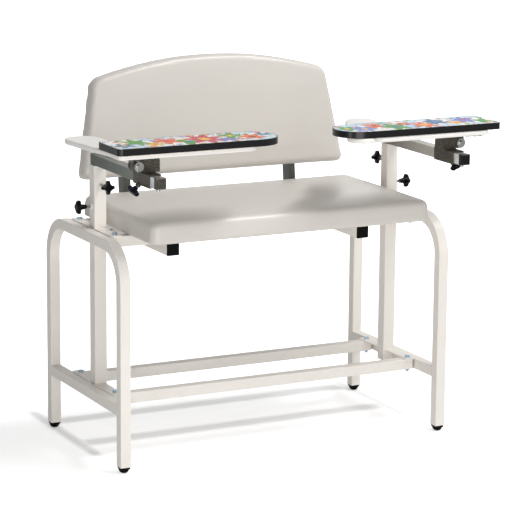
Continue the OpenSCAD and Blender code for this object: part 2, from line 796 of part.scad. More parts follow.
// Arm bar: an upright leg in the post, joined at its top to the level tube that runs forwards
module arm_bar(s) {
    hollow = bar_w - 2 * bar_wall;
    color(satin_steel) translate([s * post_x, 0, 0]) difference() {
        union() {
            translate([0, 0, post_top - insert_l]) linear_extrude(insert_l + bar_w)
                rounded(bar_w, bar_w, tube_edge);
            translate([0, -bar_end, bar_z]) rotate([-90, 0, 0]) linear_extrude(bar_end + bar_w / 2)
                rounded(bar_w, bar_w, tube_edge);
        }
        translate([0, 0, post_top - insert_l - cut]) linear_extrude(insert_l + bar_w - bar_wall + cut)
            square(hollow, center = true);
        translate([0, -bar_end - cut, bar_z]) rotate([-90, 0, 0])
            linear_extrude(bar_end + bar_w / 2 - bar_wall + cut) square(hollow, center = true);
        translate([0, -stop_y, post_top - cut]) cylinder(h = bar_wall + 2 * cut, d = stop_d + 2 * turn_gap);
    }
}

// Black cap that fills the bar's front end
module bar_cap(s) {
    plug = bar_w - 2 * bar_wall - 2 * rest_gap;
    color(black) translate([s * post_x, -bar_end, bar_z]) to_front() {
        difference() {
            linear_extrude(bar_cap_t) rounded(bar_w, bar_w, bar_cap_r);
            // A shallow chamfer round the front face
            for (q = [0:3]) rotate(90 * q) translate([bar_w / 2, 0, bar_cap_t]) rotate([0, 45, 0])
                cube([bar_cap_r, bar_w + 2 * cut, bar_cap_r], center = true);
        }
        translate([0, 0, -cap_plug]) linear_extrude(cap_plug + bar_cap_t / 2)
            difference() {
                rounded(plug, plug, tube_edge / 2);
                // Room for the stop screw's tip
                translate([0, -plug / 2]) square([stop_d + 2 * rest_gap, plug / 2], center = true);
            }
    }
}

// Screw under the bar that stops the sleeve from running off
module stop_screw(s) {
    color(zinc) translate([s * post_x, -stop_y, post_top]) {
        translate([0, 0, -stop_drop]) cylinder(h = stop_drop, d = stop_head_d);
        translate([0, 0, -stop_drop / 2]) cylinder(h = stop_drop / 2 + 2 * bar_wall, d = stop_d);
    }
}

// Direction of the sleeve's clamp stud: outwards and down at 45 degrees
module sleeve_stud(s) {
    translate([s * post_x, -knob_sleeve_y, bar_z]) rotate([0, s * 135, 0]) children();
}

module sleeve(s) {
    color(bronze) difference() {
        union() {
            translate([s * post_x, -sleeve_front, bar_z]) rotate([-90, 0, 0]) linear_extrude(sleeve_l)
                difference() {
                    rounded(sleeve_w, sleeve_w, tube_edge);
                    rounded(bore_w, bore_w, inner_edge);
                }
            sleeve_stud(s) translate([0, 0, boss_in]) cylinder(h = boss_l, d = boss_d);
        }
        sleeve_stud(s) cylinder(h = boss_in + boss_l + cut, d = bolt_d + 2 * turn_gap);
        // The boss doesn't reach into the sleeve's bore
        translate([s * post_x, -sleeve_front, bar_z]) rotate([-90, 0, 0]) linear_extrude(sleeve_l)
            rounded(bore_w, bore_w, inner_edge);
    }
}

// Hinge block on the sleeve, with two ears at its outer side that hold the pivot
module hinge_block(s) {
    color(bronze) difference() {
        union() {
            translate([s * (block_out + block_in) / 2, -hinge_y, sleeve_top]) linear_extrude(block_h)
                rounded(block_w, block_l, tube_edge);
            for (y = [-block_front, -block_rear - ear_t]) translate([0, y, 0]) {
                block([min(s * block_in, s * pivot_x), 0, pivot_z - ear_r + rest_gap],
                      [max(s * block_in, s * pivot_x), ear_t, pivot_z + ear_r]);
                translate([s * pivot_x, 0, pivot_z]) rotate([-90, 0, 0]) cylinder(h = ear_t, r = ear_r);
            }
        }
        translate([s * pivot_x, -block_front - cut, pivot_z]) rotate([-90, 0, 0])
            cylinder(h = block_l + 2 * cut, d = bolt_d);
    }
}

// Pivot bolt with its washers and nut, held by the ears
module pivot_bolt(s) {
    color(zinc) translate([s * pivot_x, 0, pivot_z]) rotate([90, 0, 0]) {
        translate([0, 0, block_rear - washer_t - hex_h]) {
            hex(hex_af, hex_h);
            cylinder(h = block_l + 2 * washer_t + hex_h, d = bolt_d);
        }
        translate([0, 0, block_rear - washer_t]) cylinder(h = washer_t, d = washer_d);
        translate([0, 0, block_front]) cylinder(h = washer_t, d = washer_d);
        translate([0, 0, block_front + washer_t]) hex(hex_af, hex_h);
    }
}

// Flip leaf: a barrel on the pivot, a web and a plate screwed under the platform
module flip_leaf(s) {
    y0 = -block_front + ear_t + leaf_gap;
    y1 = -block_rear - ear_t - leaf_gap;
    leaf_mid = -hinge_y - leaf_ahead;
    x0 = min(s * (pivot_x - barrel_r), s * (pivot_x + leaf_out));
    x1 = max(s * (pivot_x - barrel_r), s * (pivot_x + leaf_out));
    color(bronze) difference() {
        union() {
            translate([s * pivot_x, y0, pivot_z]) rotate([-90, 0, 0]) cylinder(h = y1 - y0, r = barrel_r);
            block([s * pivot_x - barrel_r, y0, pivot_z], [s * pivot_x + barrel_r, y1, platform_z]);
            block([x0, leaf_mid - leaf_l / 2, platform_z - leaf_t], [x1, leaf_mid + leaf_l / 2, platform_z]);
        }
        translate([s * pivot_x, y0 - cut, pivot_z]) rotate([-90, 0, 0])
            cylinder(h = y1 - y0 + 2 * cut, d = bolt_d + 2 * turn_gap);
        leaf_screws(s) translate([0, 0, -cut]) cylinder(h = leaf_t + 2 * cut, d = screw_d + 2 * screw_gap);
    }
}

// Places of the screws through the flip leaf, at the underside of its plate
module leaf_screws(s) {
    for (x = [pivot_x + barrel_r + screw_head_d, pivot_x + leaf_out - screw_head_d],
         y = [-leaf_l / 2 + screw_head_d, leaf_l / 2 - screw_head_d])
        translate([s * x, -hinge_y - leaf_ahead + y, platform_z - leaf_t]) children();
}

// Places of the screws that hold the board down, at the platform's underside, as shares of
// the way from the board's inner end to the hinge block and of its width from its rear edge
screw_length_shares = [0.4308, 0.8615];
screw_width_shares = [0.45, 0.75];
module board_screw_places(s) {
    for (u = screw_length_shares, v = screw_width_shares)
        translate([s * (board_in + u * (block_in - board_in)), -board_rear - v * board_w, platform_z])
            children();
}

// A pan-head wood screw from below, its head's upper face at the origin
module wood_screw(l) {
    cylinder(h = l, d = screw_d);
    translate([0, 0, -screw_head_h]) cylinder(h = screw_head_h, d1 = screw_head_d * 3 / 4, d2 = screw_head_d);
}

module board_screws(s) {
    color(zinc) {
        leaf_screws(s) wood_screw(leaf_t + screw_l);
        board_screw_places(s) wood_screw(platform_t + board_t / 2);
    }
}

// Holes for those screws in the platform and the board
module screw_holes(s) {
    leaf_screws(s) cylinder(h = leaf_t + screw_l + cut, d = screw_d + 2 * screw_gap);
    board_screw_places(s) translate([0, 0, -cut])
        cylinder(h = platform_t + board_t / 2 + 2 * cut, d = screw_d + 2 * screw_gap);
}

// Where a line meets the one at a given depth or breadth; the line is given by one of its
// points and by the direction that it faces
function at_y(p, n, y) = [p[0] + (p[1] - y) * n[1] / n[0], y];
function at_x(p, n, x) = [x, p[1] + (p[0] - x) * n[0] / n[1]];

// One round of a plan as [centre, radius, first facing angle, last facing angle]. The radius
// of a hollow corner is negative. This one rounds the corner where two sides meet.
function corner(p, r, a0, a1) = let (turn = sign(a1 - a0), n0 = facing(a0), n1 = facing(a1))
    [p - turn * r * (n0 + n1) / (1 + n0 * n1), turn * r, a0, a1];

// Centre of the circle that touches two others from outside, to the right of the way from
// the first to the second
function nestled(c1, r1, c2, r2, r) = let (
    run = c2 - c1, way = norm(run), e = run / way,
    along = ((r1 + r) * (r1 + r) - (r2 + r) * (r2 + r) + way * way) / (2 * way),
    aside = sqrt((r1 + r) * (r1 + r) - along * along))
    c1 + along * e + aside * [e[1], -e[0]];

function facing_angle(a, b) = atan2(b[1] - a[1], b[0] - a[0]);

// Rounds of the left platform's plan, anticlockwise from its outer front corner
left_lobe = [-left_lobe_x, -left_lobe_y];
left_knee = [-left_knee_x, -left_knee_y];
left_turn = facing_angle(left_knee, left_lobe);
left_half = (left_front - leg_rear) / 2;
left_rounds = [
    corner([-left_corner_x, -left_front], platform_r, 180, 270),
    [[-left_leg_end_x - left_half, -leg_rear - left_half], left_half, 270, 450],
    corner(at_y(left_knee + left_lobe_r * facing(left_turn - 90), facing(left_turn - 90), -leg_rear),
           platform_r, 90, left_turn - 90),
    [left_lobe, left_lobe_r, left_turn - 90, left_turn + 90],
    corner(at_x(left_knee + left_lobe_r * facing(left_turn + 90), facing(left_turn + 90), -left_corner_x),
           left_lobe_r, left_turn + 90, 180)
];

// Rounds of the right platform's plan, anticlockwise from the slanted leg's inner end
right_lobe = [right_lobe_x, -right_lobe_y];
right_back = [right_back_x, -right_back_y];
right_turn = facing_angle(right_lobe, right_back);
right_lift = acos((right_lobe_r - right_back_r) / norm(right_back - right_lobe));
right_tip = [right_leg_end_x + right_corner_r, -right_front + right_corner_r];
right_notch = nestled(right_lobe, right_lobe_r, right_tip, right_corner_r, right_notch_r);
notch_start = facing_angle(right_lobe, right_notch) + full_turn;
notch_end = facing_angle(right_tip, right_notch) + full_turn;
right_rounds = [
    [right_lobe, right_lobe_r, right_turn + right_lift, notch_start],
    [right_notch, -right_notch_r, notch_start, notch_end],
    [right_tip, right_corner_r, notch_end, 270],
    corner([right_end_x, -right_front], right_corner_r, -90, 0),
    corner([right_end_x, -leg_rear], right_corner_r, 0, 90),
    corner(at_y(right_lobe + right_lobe_r * facing(right_turn - right_lift),
                facing(right_turn - right_lift), -leg_rear),
           platform_r, 90, right_turn - right_lift),
    [right_back, right_back_r, right_turn - right_lift, right_turn + right_lift]
];

// Steps of a platform's side as [inset, height], with a quarter round at each rim
platform_levels = concat(
    [for (i = [0:rim_steps]) platform_rim * [1 - sin(90 * i / rim_steps), 1 - cos(90 * i / rim_steps)]],
    [for (i = [0:rim_steps]) [0, platform_t]
        + platform_rim * [1 - cos(90 * i / rim_steps), sin(90 * i / rim_steps) - 1]]);

// Outline of a plan, moved inwards and lifted
function plan_ring(rounds, inset, z) =
    [for (c = rounds, p = arc(c[0], c[1] - inset, c[2], c[3], plan_steps)) [p[0], p[1], z]];

// Moulded platform with rounded rims, drilled for its screws
module platform(s, rounds) {
    color(paint) difference() {
        translate([0, 0, platform_z]) loft([for (v = platform_levels) plan_ring(rounds, v[0], v[1])]);
        screw_holes(s);
    }
}

// Plan of a board: round inner end, small outer corners; drawn inset by a given amount
module board_plan(s, inset) {
    end_x = board_in + board_w / 2;
    mid_y = -board_front + board_w / 2;
    translate([s * end_x, mid_y]) circle(board_w / 2 - inset);
    x0 = min(s * end_x, s * (board_out - board_r));
    translate([x0, -board_front + inset]) square([board_out - board_r - end_x, board_w - 2 * inset]);
    x1 = min(s * (board_out - board_r - cut), s * (board_out - inset));
    translate([x1, -board_front + board_r]) square([board_r + cut - inset, board_w - 2 * board_r]);
    for (y = [-board_front + board_r, -board_rear - board_r])
        translate([s * (board_out - board_r), y]) circle(board_r - inset);
}

// The board's core, grooved for the moulding's tongue
module board_core(s) {
    color(wood) translate([0, 0, board_z]) difference() {
        linear_extrude(board_t - laminate_t) board_plan(s, edge_t);
        translate([0, 0, board_t / 2 - tongue_t / 2 - screw_gap]) linear_extrude(tongue_t + 2 * screw_gap)
            difference() {
                board_plan(s, edge_t - cut);
                board_plan(s, edge_t + tongue_l + screw_gap);
            }
        translate([0, 0, -board_z]) screw_holes(s);
    }
}

// Black edge moulding: a band round the board and a tongue in the core's groove
module board_edge(s) {
    color(black) translate([0, 0, board_z]) {
        linear_extrude(board_t) difference() {
            board_plan(s, 0);
            board_plan(s, edge_t);
        }
        translate([0, 0, board_t / 2 - tongue_t / 2]) linear_extrude(tongue_t) difference() {
            board_plan(s, edge_t / 2);
            board_plan(s, edge_t + tongue_l);
        }
    }
}

module board_top(s) {
    color(laminate) translate([0, 0, laminate_z]) linear_extrude(laminate_t) board_plan(s, edge_t);
}

// Clamp knob, from its stud's tip upwards: stud, hub and a head with four lobes
scoop_r = 12.5;
scoop_c = 23.5;
// Profile of the head, as shares of its diameter and of its thickness
head_profile_shares = [[0, 0], [0.44, 0], [0.5, 0.22], [0.5, 0.56], [0.42, 0.89], [0.25, 1], [0, 1]];
module knob(stud_l, hub) {
    cylinder(h = stud_l + hub, d = bolt_d);
    translate([0, 0, stud_l]) cylinder(h = hub + cut, d1 = hub_d * 3 / 4, d2 = hub_d);
    translate([0, 0, stud_l + hub]) intersection() {
        linear_extrude(knob_t) difference() {
            circle(d = knob_d);
            for (q = [0:3]) rotate(45 + 90 * q) translate([scoop_c, 0]) circle(scoop_r);
        }
        rotate_extrude() polygon([for (p = head_profile_shares) [p[0] * knob_d, p[1] * knob_t]]);
    }
}

// The tips of the clamp studs end just short of the bar
stud_start = bar_w / 2 + tip_gap;
sleeve_stud_start = bar_w / sqrt(2) - tube_edge * (sqrt(2) - 1) + tip_gap;

module low_knob(s) {
    color(black) translate([s * post_x, 0, rail_top + knob_low_rise]) to_side(s)
        translate([0, 0, stud_start]) knob(knob_low_out - stud_start, hub_l);
}

module high_knob(s) {
    color(black) translate([s * post_x, 0, rail_top + knob_high_rise]) rotate([0, 0, s > 0 ? 180 : 0])
        to_front() translate([0, 0, stud_start]) knob(knob_high_out - stud_start, hub_l);
}

module sleeve_knob(s) {
    color(black) sleeve_stud(s) translate([0, 0, sleeve_stud_start])
        knob(knob_sleeve_out - sleeve_stud_start, short_hub_l);
}

placed() {
    end_frame(LEFT);  // left_end_frame
    end_frame(RIGHT);  // right_end_frame
    crossbar(LEFT);  // left_crossbar
    crossbar(RIGHT);  // right_crossbar
    arm_post(LEFT);  // left_arm_post
    arm_post(RIGHT);  // right_arm_post
    tabs(rail_top);  // upper_tabs
    tabs(crossbar_top);  // lower_tabs
    cross_member(-1, crossbar_z, false);  // front_stretcher
    cross_member(1, crossbar_z, false);  // rear_stretcher
    cross_member(-1, rail_top - tube_w, true);  // front_seat_tube
    cross_member(1, rail_top - tube_w, true);  // rear_seat_tube
    runner(LEFT);  // left_runner
    runner(RIGHT);  // right_runner
    tube_caps();
    glides();
    frame_bolts();
    frame_nuts();
    post_nuts();
    seat_board();
    seat_cushion();
    seat_bolts();
    back_board();
    back_cushion();
    back_cover();
    upright(LEFT);  // left_upright
    upright(RIGHT);  // right_upright
    upright_bolts();
    back_bolts();
    arm_bar(LEFT);  // left_arm_bar
    arm_bar(RIGHT);  // right_arm_bar
    bar_cap(LEFT);  // left_bar_cap
    bar_cap(RIGHT);  // right_bar_cap
    stop_screw(LEFT);  // left_stop_screw
    stop_screw(RIGHT);  // right_stop_screw
    sleeve(LEFT);  // left_sleeve
    sleeve(RIGHT);  // right_sleeve
    hinge_block(LEFT);  // left_hinge_block
    hinge_block(RIGHT);  // right_hinge_block
    pivot_bolt(LEFT);  // left_pivot_bolt
    pivot_bolt(RIGHT);  // right_pivot_bolt
    flip_leaf(LEFT);  // left_flip_leaf
    flip_leaf(RIGHT);  // right_flip_leaf
    platform(LEFT, left_rounds);  // left_platform
    platform(RIGHT, right_rounds);  // right_platform
    board_core(LEFT);  // left_board_core
    board_core(RIGHT);  // right_board_core
    board_edge(LEFT);  // left_board_edge
    board_edge(RIGHT);  // right_board_edge
    board_top(LEFT);  // left_board_top
    board_top(RIGHT);  // right_board_top
    board_screws(LEFT);  // left_board_screws
    board_screws(RIGHT);  // right_board_screws
    low_knob(LEFT);  // left_low_knob
    high_knob(LEFT);  // left_high_knob
    sleeve_knob(LEFT);  // left_sleeve_knob
    low_knob(RIGHT);  // right_low_knob
    high_knob(RIGHT);  // right_high_knob
    sleeve_knob(RIGHT);  // right_sleeve_knob
}
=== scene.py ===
"""Wide phlebotomy chair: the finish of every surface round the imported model.

A bolted frame of powder-coated square tube carries an upholstered bench seat and an arched back.
Two flip-up arm boards slide on telescoping arm bars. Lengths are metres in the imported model's own
frame: the front faces -Y and up is +Z.
"""

import logging
import math
from dataclasses import dataclass
from enum import Enum
from functools import cache
from typing import Any, Callable, Optional, Sequence, Union

import bmesh
import bpy
from bmesh.types import BMEdge, BMesh, BMFace, BMVert
from mathutils import Matrix, Vector


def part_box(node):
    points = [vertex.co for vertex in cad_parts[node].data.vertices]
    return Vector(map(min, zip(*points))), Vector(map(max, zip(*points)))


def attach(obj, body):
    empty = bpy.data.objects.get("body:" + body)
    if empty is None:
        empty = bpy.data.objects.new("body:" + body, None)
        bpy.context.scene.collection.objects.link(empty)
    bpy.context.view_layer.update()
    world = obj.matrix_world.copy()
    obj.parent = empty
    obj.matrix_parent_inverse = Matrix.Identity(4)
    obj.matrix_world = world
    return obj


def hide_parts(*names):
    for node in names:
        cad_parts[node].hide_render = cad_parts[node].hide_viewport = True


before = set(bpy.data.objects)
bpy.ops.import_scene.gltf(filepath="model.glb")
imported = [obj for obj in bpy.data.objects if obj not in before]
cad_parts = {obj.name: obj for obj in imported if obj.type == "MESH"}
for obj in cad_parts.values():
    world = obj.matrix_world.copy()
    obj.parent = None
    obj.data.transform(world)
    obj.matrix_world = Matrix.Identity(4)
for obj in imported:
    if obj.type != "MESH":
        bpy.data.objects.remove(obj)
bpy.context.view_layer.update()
LOG = logging.getLogger("phlebotomy_chair")

Colour = tuple[float, float, float, float]
Material = bpy.types.Material
Output = bpy.types.NodeSocket
Piece = bpy.types.Object
Tree = bpy.types.NodeTree
Value = Union[float, Sequence[float], Output]

MM = 0.001
# The chair's own middle, between the legs, seen from the model's origin
MIDDLE = Vector((9.8, 59.1644, 0.0)) * MM


def chair(x: float, y: float, z: float) -> Vector:
    """Turn a place in millimetres from the chair's own middle into the model's frame.

    Args:
        x: Millimetres to the right of the middle.
        y: Millimetres behind the middle.
        z: Millimetres above the floor.

    Returns:
        The place in metres.
    """
    return Vector((x, y, z)) * MM + MIDDLE


def tint(red: int, green: int, blue: int) -> Colour:
    """Turn a display colour of 0 to 255 a channel into linear values.

    Args:
        red: Red as displayed.
        green: Green as displayed.
        blue: Blue as displayed.

    Returns:
        The linear colour, opaque.
    """
    def linear(channel: int) -> float:
        """Undo the display curve for one channel."""
        share = channel / 255
        return share / 12.92 if share <= 0.04045 else ((share + 0.055) / 1.055) ** 2.4

    return (linear(red), linear(green), linear(blue), 1.0)


class Side(Enum):
    """The two sides of the chair, with the sign of their X direction."""

    LEFT = -1
    RIGHT = 1

    @property
    def word(self) -> str:
        """The side's name as the nodes spell it."""
        return self.name.lower()


class Level(Enum):
    """The three clamp knobs of one arm."""

    LOW = "low"
    HIGH = "high"
    SLEEVE = "sleeve"


class Socket(Enum):
    """What a socket of a shader group carries."""

    NUMBER = "NodeSocketFloat"
    VECTOR = "NodeSocketVector"
    COLOUR = "NodeSocketColor"


def numbers(*labels: str) -> dict[str, Socket]:
    """Give every label a number's socket."""
    return {label: Socket.NUMBER for label in labels}


def darkened(colour: Colour, share: float) -> Colour:
    """Bring a colour down to a share of its brightness."""
    return tuple(share * channel for channel in colour[:3]) + (1.0,)


class Graph:
    """A node tree with short calls that add its nodes and join them."""

    def __init__(self, tree: Tree) -> None:
        """Take the tree that the calls work on."""
        self.tree = tree

    def feed(self, socket: Output, value: Value) -> None:
        """Join a socket to another, or set its own value.

        Args:
            socket: The input to feed.
            value: An output socket, a number or a vector.
        """
        if isinstance(value, Output):
            self.tree.links.new(value, socket)
        else:
            socket.default_value = value

    def add(self, kind: str, inputs: Optional[dict[Any, Value]] = None, **settings: Any) -> bpy.types.Node:
        """Add a node.

        Args:
            kind: The node's type.
            inputs: Values or sockets by input name or number.
            **settings: The node's own settings.

        Returns:
            The new node.
        """
        node = self.tree.nodes.new(kind)
        for name, value in settings.items():
            setattr(node, name, value)
        for name, value in (inputs or {}).items():
            self.feed(node.inputs[name], value)
        return node

    def math(self, operation: str, a: Value, b: Value = 0.0, clamp: bool = False) -> Output:
        """Add a Math node.

        Args:
            operation: The operation's name.
            a: The first number or socket.
            b: The second number or socket.
            clamp: Whether the result stays from 0 to 1.

        Returns:
            The result's socket.
        """
        return self.add("ShaderNodeMath", {0: a, 1: b}, operation=operation, use_clamp=clamp).outputs[0]

    def times(self, a: Value, b: Value) -> Output:
        """Multiply two numbers."""
        return self.math("MULTIPLY", a, b)

    def plus(self, a: Value, b: Value) -> Output:
        """Add two numbers."""
        return self.math("ADD", a, b)

    def minus(self, a: Value, b: Value) -> Output:
        """Take the second number from the first."""
        return self.math("SUBTRACT", a, b)

    def vector(self, operation: str, a: Value, b: Value = (0.0, 0.0, 0.0)) -> Any:
        """Work on one or two vectors, and return the node's outputs."""
        return self.add("ShaderNodeVectorMath", {0: a, 1: b}, operation=operation).outputs

    def split(self, place: Value) -> Any:
        """Split a vector into the outputs X, Y and Z."""
        return self.add("ShaderNodeSeparateXYZ", {0: place}).outputs

    def dim(self, colour: Value, value: Value) -> Output:
        """Scale a colour's brightness."""
        return self.add("ShaderNodeHueSaturation", {"Value": value, "Color": colour}).outputs[0]

    def ramp(self, value: Value, low: float, high: float, start: float = 0.0, end: float = 1.0) -> Output:
        """Map a value smoothly from one range to another.

        Args:
            value: The number or socket to map.
            low: The value that gives start.
            high: The value that gives end.
            start: The result at low.
            end: The result at high.

        Returns:
            The result's socket.
        """
        inputs = {"Value": value, "From Min": low, "From Max": high, "To Min": start, "To Max": end}
        return self.add("ShaderNodeMapRange", inputs, interpolation_type="SMOOTHSTEP").outputs["Result"]

    def blend(self, share: Value, first: Value, second: Value) -> Output:
        """Mix two colours.

        Args:
            share: How much of the second colour shows.
            first: The first colour.
            second: The second colour.

        Returns:
            The mixed colour's socket.
        """
        node = self.add("ShaderNodeMix", data_type="RGBA")
        self.feed(node.inputs[0], share)
        self.feed(node.inputs[6], first)
        self.feed(node.inputs[7], second)
        return node.outputs[2]

    def noise(self, place: Value, size: Value, detail: float = 2.0) -> Output:
        """Add soft noise.

        Args:
            place: Where the noise is read.
            size: Features per metre.
            detail: How many finer layers it has.

        Returns:
            The noise's value.
        """
        inputs = {"Vector": place, "Scale": size, "Detail": detail}
        return self.add("ShaderNodeTexNoise", inputs).outputs["Fac"]

    def palette(self, value: Value, colours: Sequence[Colour]) -> Output:
        """Pick one of several colours by a value from 0 to 1.

        Args:
            value: The number or socket that picks.
            colours: The colours, in even steps.

        Returns:
            The picked colour's socket.
        """
        node = self.add("ShaderNodeValToRGB", {0: value})
        ramp = node.color_ramp
        ramp.interpolation = "CONSTANT"
        while len(ramp.elements) < len(colours):
            ramp.elements.new(1.0)
        for index, colour in enumerate(colours):
            ramp.elements[index].position = index / len(colours)
            ramp.elements[index].color = colour
        return node.outputs[0]


def blank_graph(owner: Any) -> Graph:
    """Turn on the nodes of a material or a world, and empty them."""
    owner.use_nodes = True
    owner.node_tree.nodes.clear()
    return Graph(owner.node_tree)


Wiring = Callable[[Graph, Any, Any], None]


def shared(name: str, inputs: dict[str, Socket], outputs: dict[str, Socket]) -> Callable[[Wiring], Any]:
    """Turn a wiring function into one that gives its shader node group, built at its first use.

    Args:
        name: The group's name.
        inputs: Its inputs by label, after the place where it is read.
        outputs: Its outputs by label.

    Returns:
        The decorator.
    """
    def keep(wire: Wiring) -> Callable[[], Tree]:
        """Keep the wiring until the group is asked for."""
        @cache
        def find() -> Tree:
            """Build the group and join its inputs to its outputs."""
            tree = bpy.data.node_groups.new(name, "ShaderNodeTree")
            for way, sockets in (("INPUT", {"Place": Socket.VECTOR, **inputs}), ("OUTPUT", outputs)):
                for label, kind in sockets.items():
                    tree.interface.new_socket(name=label, in_out=way, socket_type=kind.value)
            graph = Graph(tree)
            wire(graph, graph.add("NodeGroupInput").outputs, graph.add("NodeGroupOutput").inputs)
            return tree

        return find

    return keep


class Effects:
    """Shader node groups that several finishes share. Sizes of noise are features per metre."""

    @staticmethod
    @shared("soft_mottle", {"Colour": Socket.COLOUR, **numbers("Size", "Amount")},
            {"Colour": Socket.COLOUR})
    def mottle(graph: Graph, given: Any, result: Any) -> None:
        """Brighten and darken a colour by two sizes of noise."""
        broad = graph.noise(given["Place"], given["Size"], 2.0)
        fine = graph.noise(given["Place"], graph.times(given["Size"], 9.0), 3.0)
        both = graph.plus(graph.times(broad, 0.7), graph.times(fine, 0.3))
        swing = graph.times(graph.minus(both, 0.5), given["Amount"])
        graph.feed(result["Colour"], graph.dim(given["Colour"], graph.plus(1.0, swing)))

    @staticmethod
    @shared("handling", numbers("Roughness", "Spread", "Size"), numbers("Roughness"))
    def handling(graph: Graph, given: Any, result: Any) -> None:
        """Swing a roughness by noise, as hands and cloths leave it."""
        broad = graph.noise(given["Place"], given["Size"], 4.0)
        swing = graph.times(graph.minus(broad, 0.5), given["Spread"])
        graph.feed(result["Roughness"], graph.math("ADD", given["Roughness"], swing, clamp=True))

    @staticmethod
    @shared("orange_peel", numbers("Size"), numbers("Height"))
    def peel(graph: Graph, given: Any, result: Any) -> None:
        """Make the fine waves of a sprayed or powder coat from two sizes of noise."""
        waves = graph.noise(given["Place"], given["Size"], 1.0)
        specks = graph.noise(given["Place"], graph.times(given["Size"], 5.0), 1.0)
        graph.feed(result["Height"], graph.plus(waves, graph.times(specks, 0.25)))

    @staticmethod
    @shared("vinyl_grain", numbers("Size"), numbers("Height", "Crease"))
    def leather(graph: Graph, given: Any, result: Any) -> None:
        """Make pebbles with creases between them, bent by noise."""
        inputs = {"Vector": given["Place"], "Scale": 160.0, "Detail": 1.0}
        bend = graph.add("ShaderNodeTexNoise", inputs).outputs["Color"]
        place = graph.vector("ADD", given["Place"], graph.vector("MULTIPLY", bend, (0.0016,) * 3)[0])[0]
        inputs = {"Vector": place, "Scale": given["Size"]}
        cells = graph.add("ShaderNodeTexVoronoi", inputs, feature="DISTANCE_TO_EDGE").outputs["Distance"]
        pebbles = graph.ramp(cells, 0.0, 0.22)
        pores = graph.noise(given["Place"], graph.times(given["Size"], 2.3), 2.0)
        graph.feed(result["Height"], graph.plus(pebbles, graph.times(pores, 0.5)))
        graph.feed(result["Crease"], graph.minus(1.0, pebbles))

    @staticmethod
    @shared("drawn_lines", {"Stretch": Socket.VECTOR}, numbers("Lines"))
    def drawn(graph: Graph, given: Any, result: Any) -> None:
        """Draw fine lines along one direction, as on drawn steel or cut wood."""
        place = graph.vector("MULTIPLY", given["Place"], given["Stretch"])[0]
        graph.feed(result["Lines"], graph.noise(place, 1.0, 4.0))

    @staticmethod
    @shared("painted_motif", {"Centre": Socket.VECTOR,
                              **numbers("Radius", "Petals", "Depth", "Turn", "Squeeze")},
            numbers("Mask", "Heart", "Shade"))
    def motif(graph: Graph, given: Any, result: Any) -> None:
        """Paint one flower, leaf or blot in the plane of X and Y, its outline ragged by noise."""
        gap = graph.split(graph.vector("SUBTRACT", given["Place"], given["Centre"])[0])
        across = graph.times(gap["Y"], given["Squeeze"])
        flat = graph.add("ShaderNodeCombineXYZ", {"X": gap["X"], "Y": across, "Z": 0.0}).outputs[0]
        far = graph.vector("LENGTH", flat)["Value"]
        angle = graph.math("ARCTAN2", across, gap["X"])
        wave = graph.times(graph.plus(angle, given["Turn"]), given["Petals"])
        bulge = graph.times(graph.math("COSINE", wave), given["Depth"])
        ragged = graph.noise(given["Place"], 260.0, 4.0)
        rough = graph.times(graph.minus(ragged, 0.5), 0.45)
        reach = graph.plus(graph.plus(1.0, bulge), rough)
        share = graph.math("DIVIDE", far, graph.times(given["Radius"], reach))
        graph.feed(result["Mask"], graph.ramp(share, 1.0, 0.96))
        graph.feed(result["Heart"], graph.ramp(share, 0.34, 0.3))
        streaks = graph.math("COSINE", graph.times(wave, 3.0))
        veins = graph.times(graph.ramp(streaks, 0.2, 0.9), graph.ramp(share, 0.2, 0.8))
        rim = graph.ramp(share, 0.8, 0.97)
        graph.feed(result["Shade"], graph.math("MAXIMUM", rim, graph.times(veins, 0.6)))

    @staticmethod
    @shared("strewn_flowers", numbers("Size", "Share"), numbers("Mask", "Pick", "Shade"))
    def scatter(graph: Graph, given: Any, result: Any) -> None:
        """Strew five-petalled flowers: one in each cell of a loose grid, turned by chance."""
        flat = graph.vector("MULTIPLY", given["Place"], (1.0, 1.0, 0.0))[0]
        inputs = {"Vector": flat, "Scale": given["Size"], "Randomness": 0.85}
        cells = graph.add("ShaderNodeTexVoronoi", inputs, voronoi_dimensions="2D").outputs
        gap = graph.split(graph.vector("SUBTRACT", flat, cells["Position"])[0])
        chance = graph.add("ShaderNodeSeparateColor", {0: cells["Color"]}).outputs
        angle = graph.math("ARCTAN2", gap["Y"], gap["X"])
        wave = graph.plus(graph.times(angle, 5.0), graph.times(chance[0], 6.0))
        reach = graph.plus(0.34, graph.times(graph.math("COSINE", wave), 0.12))
        share = graph.math("DIVIDE", cells["Distance"], reach)
        sown = graph.math("LESS_THAN", chance[2], given["Share"])
        graph.feed(result["Mask"], graph.times(graph.ramp(share, 1.0, 0.93), sown))
        graph.feed(result["Pick"], chance[1])
        rim = graph.ramp(share, 0.7, 0.95)
        graph.feed(result["Shade"], graph.math("MAXIMUM", rim, graph.ramp(share, 0.3, 0.2)))

    @staticmethod
    @shared("metal_flecks", numbers("Size"), numbers("Mask"))
    def speckle(graph: Graph, given: Any, result: Any) -> None:
        """Keep only the peaks of fine noise: the flecks of a hammered coat, where the bronze paint puts its
        painted glints.
        """
        peaks = graph.noise(given["Place"], given["Size"], 2.0)
        graph.feed(result["Mask"], graph.ramp(peaks, 0.56, 0.68))


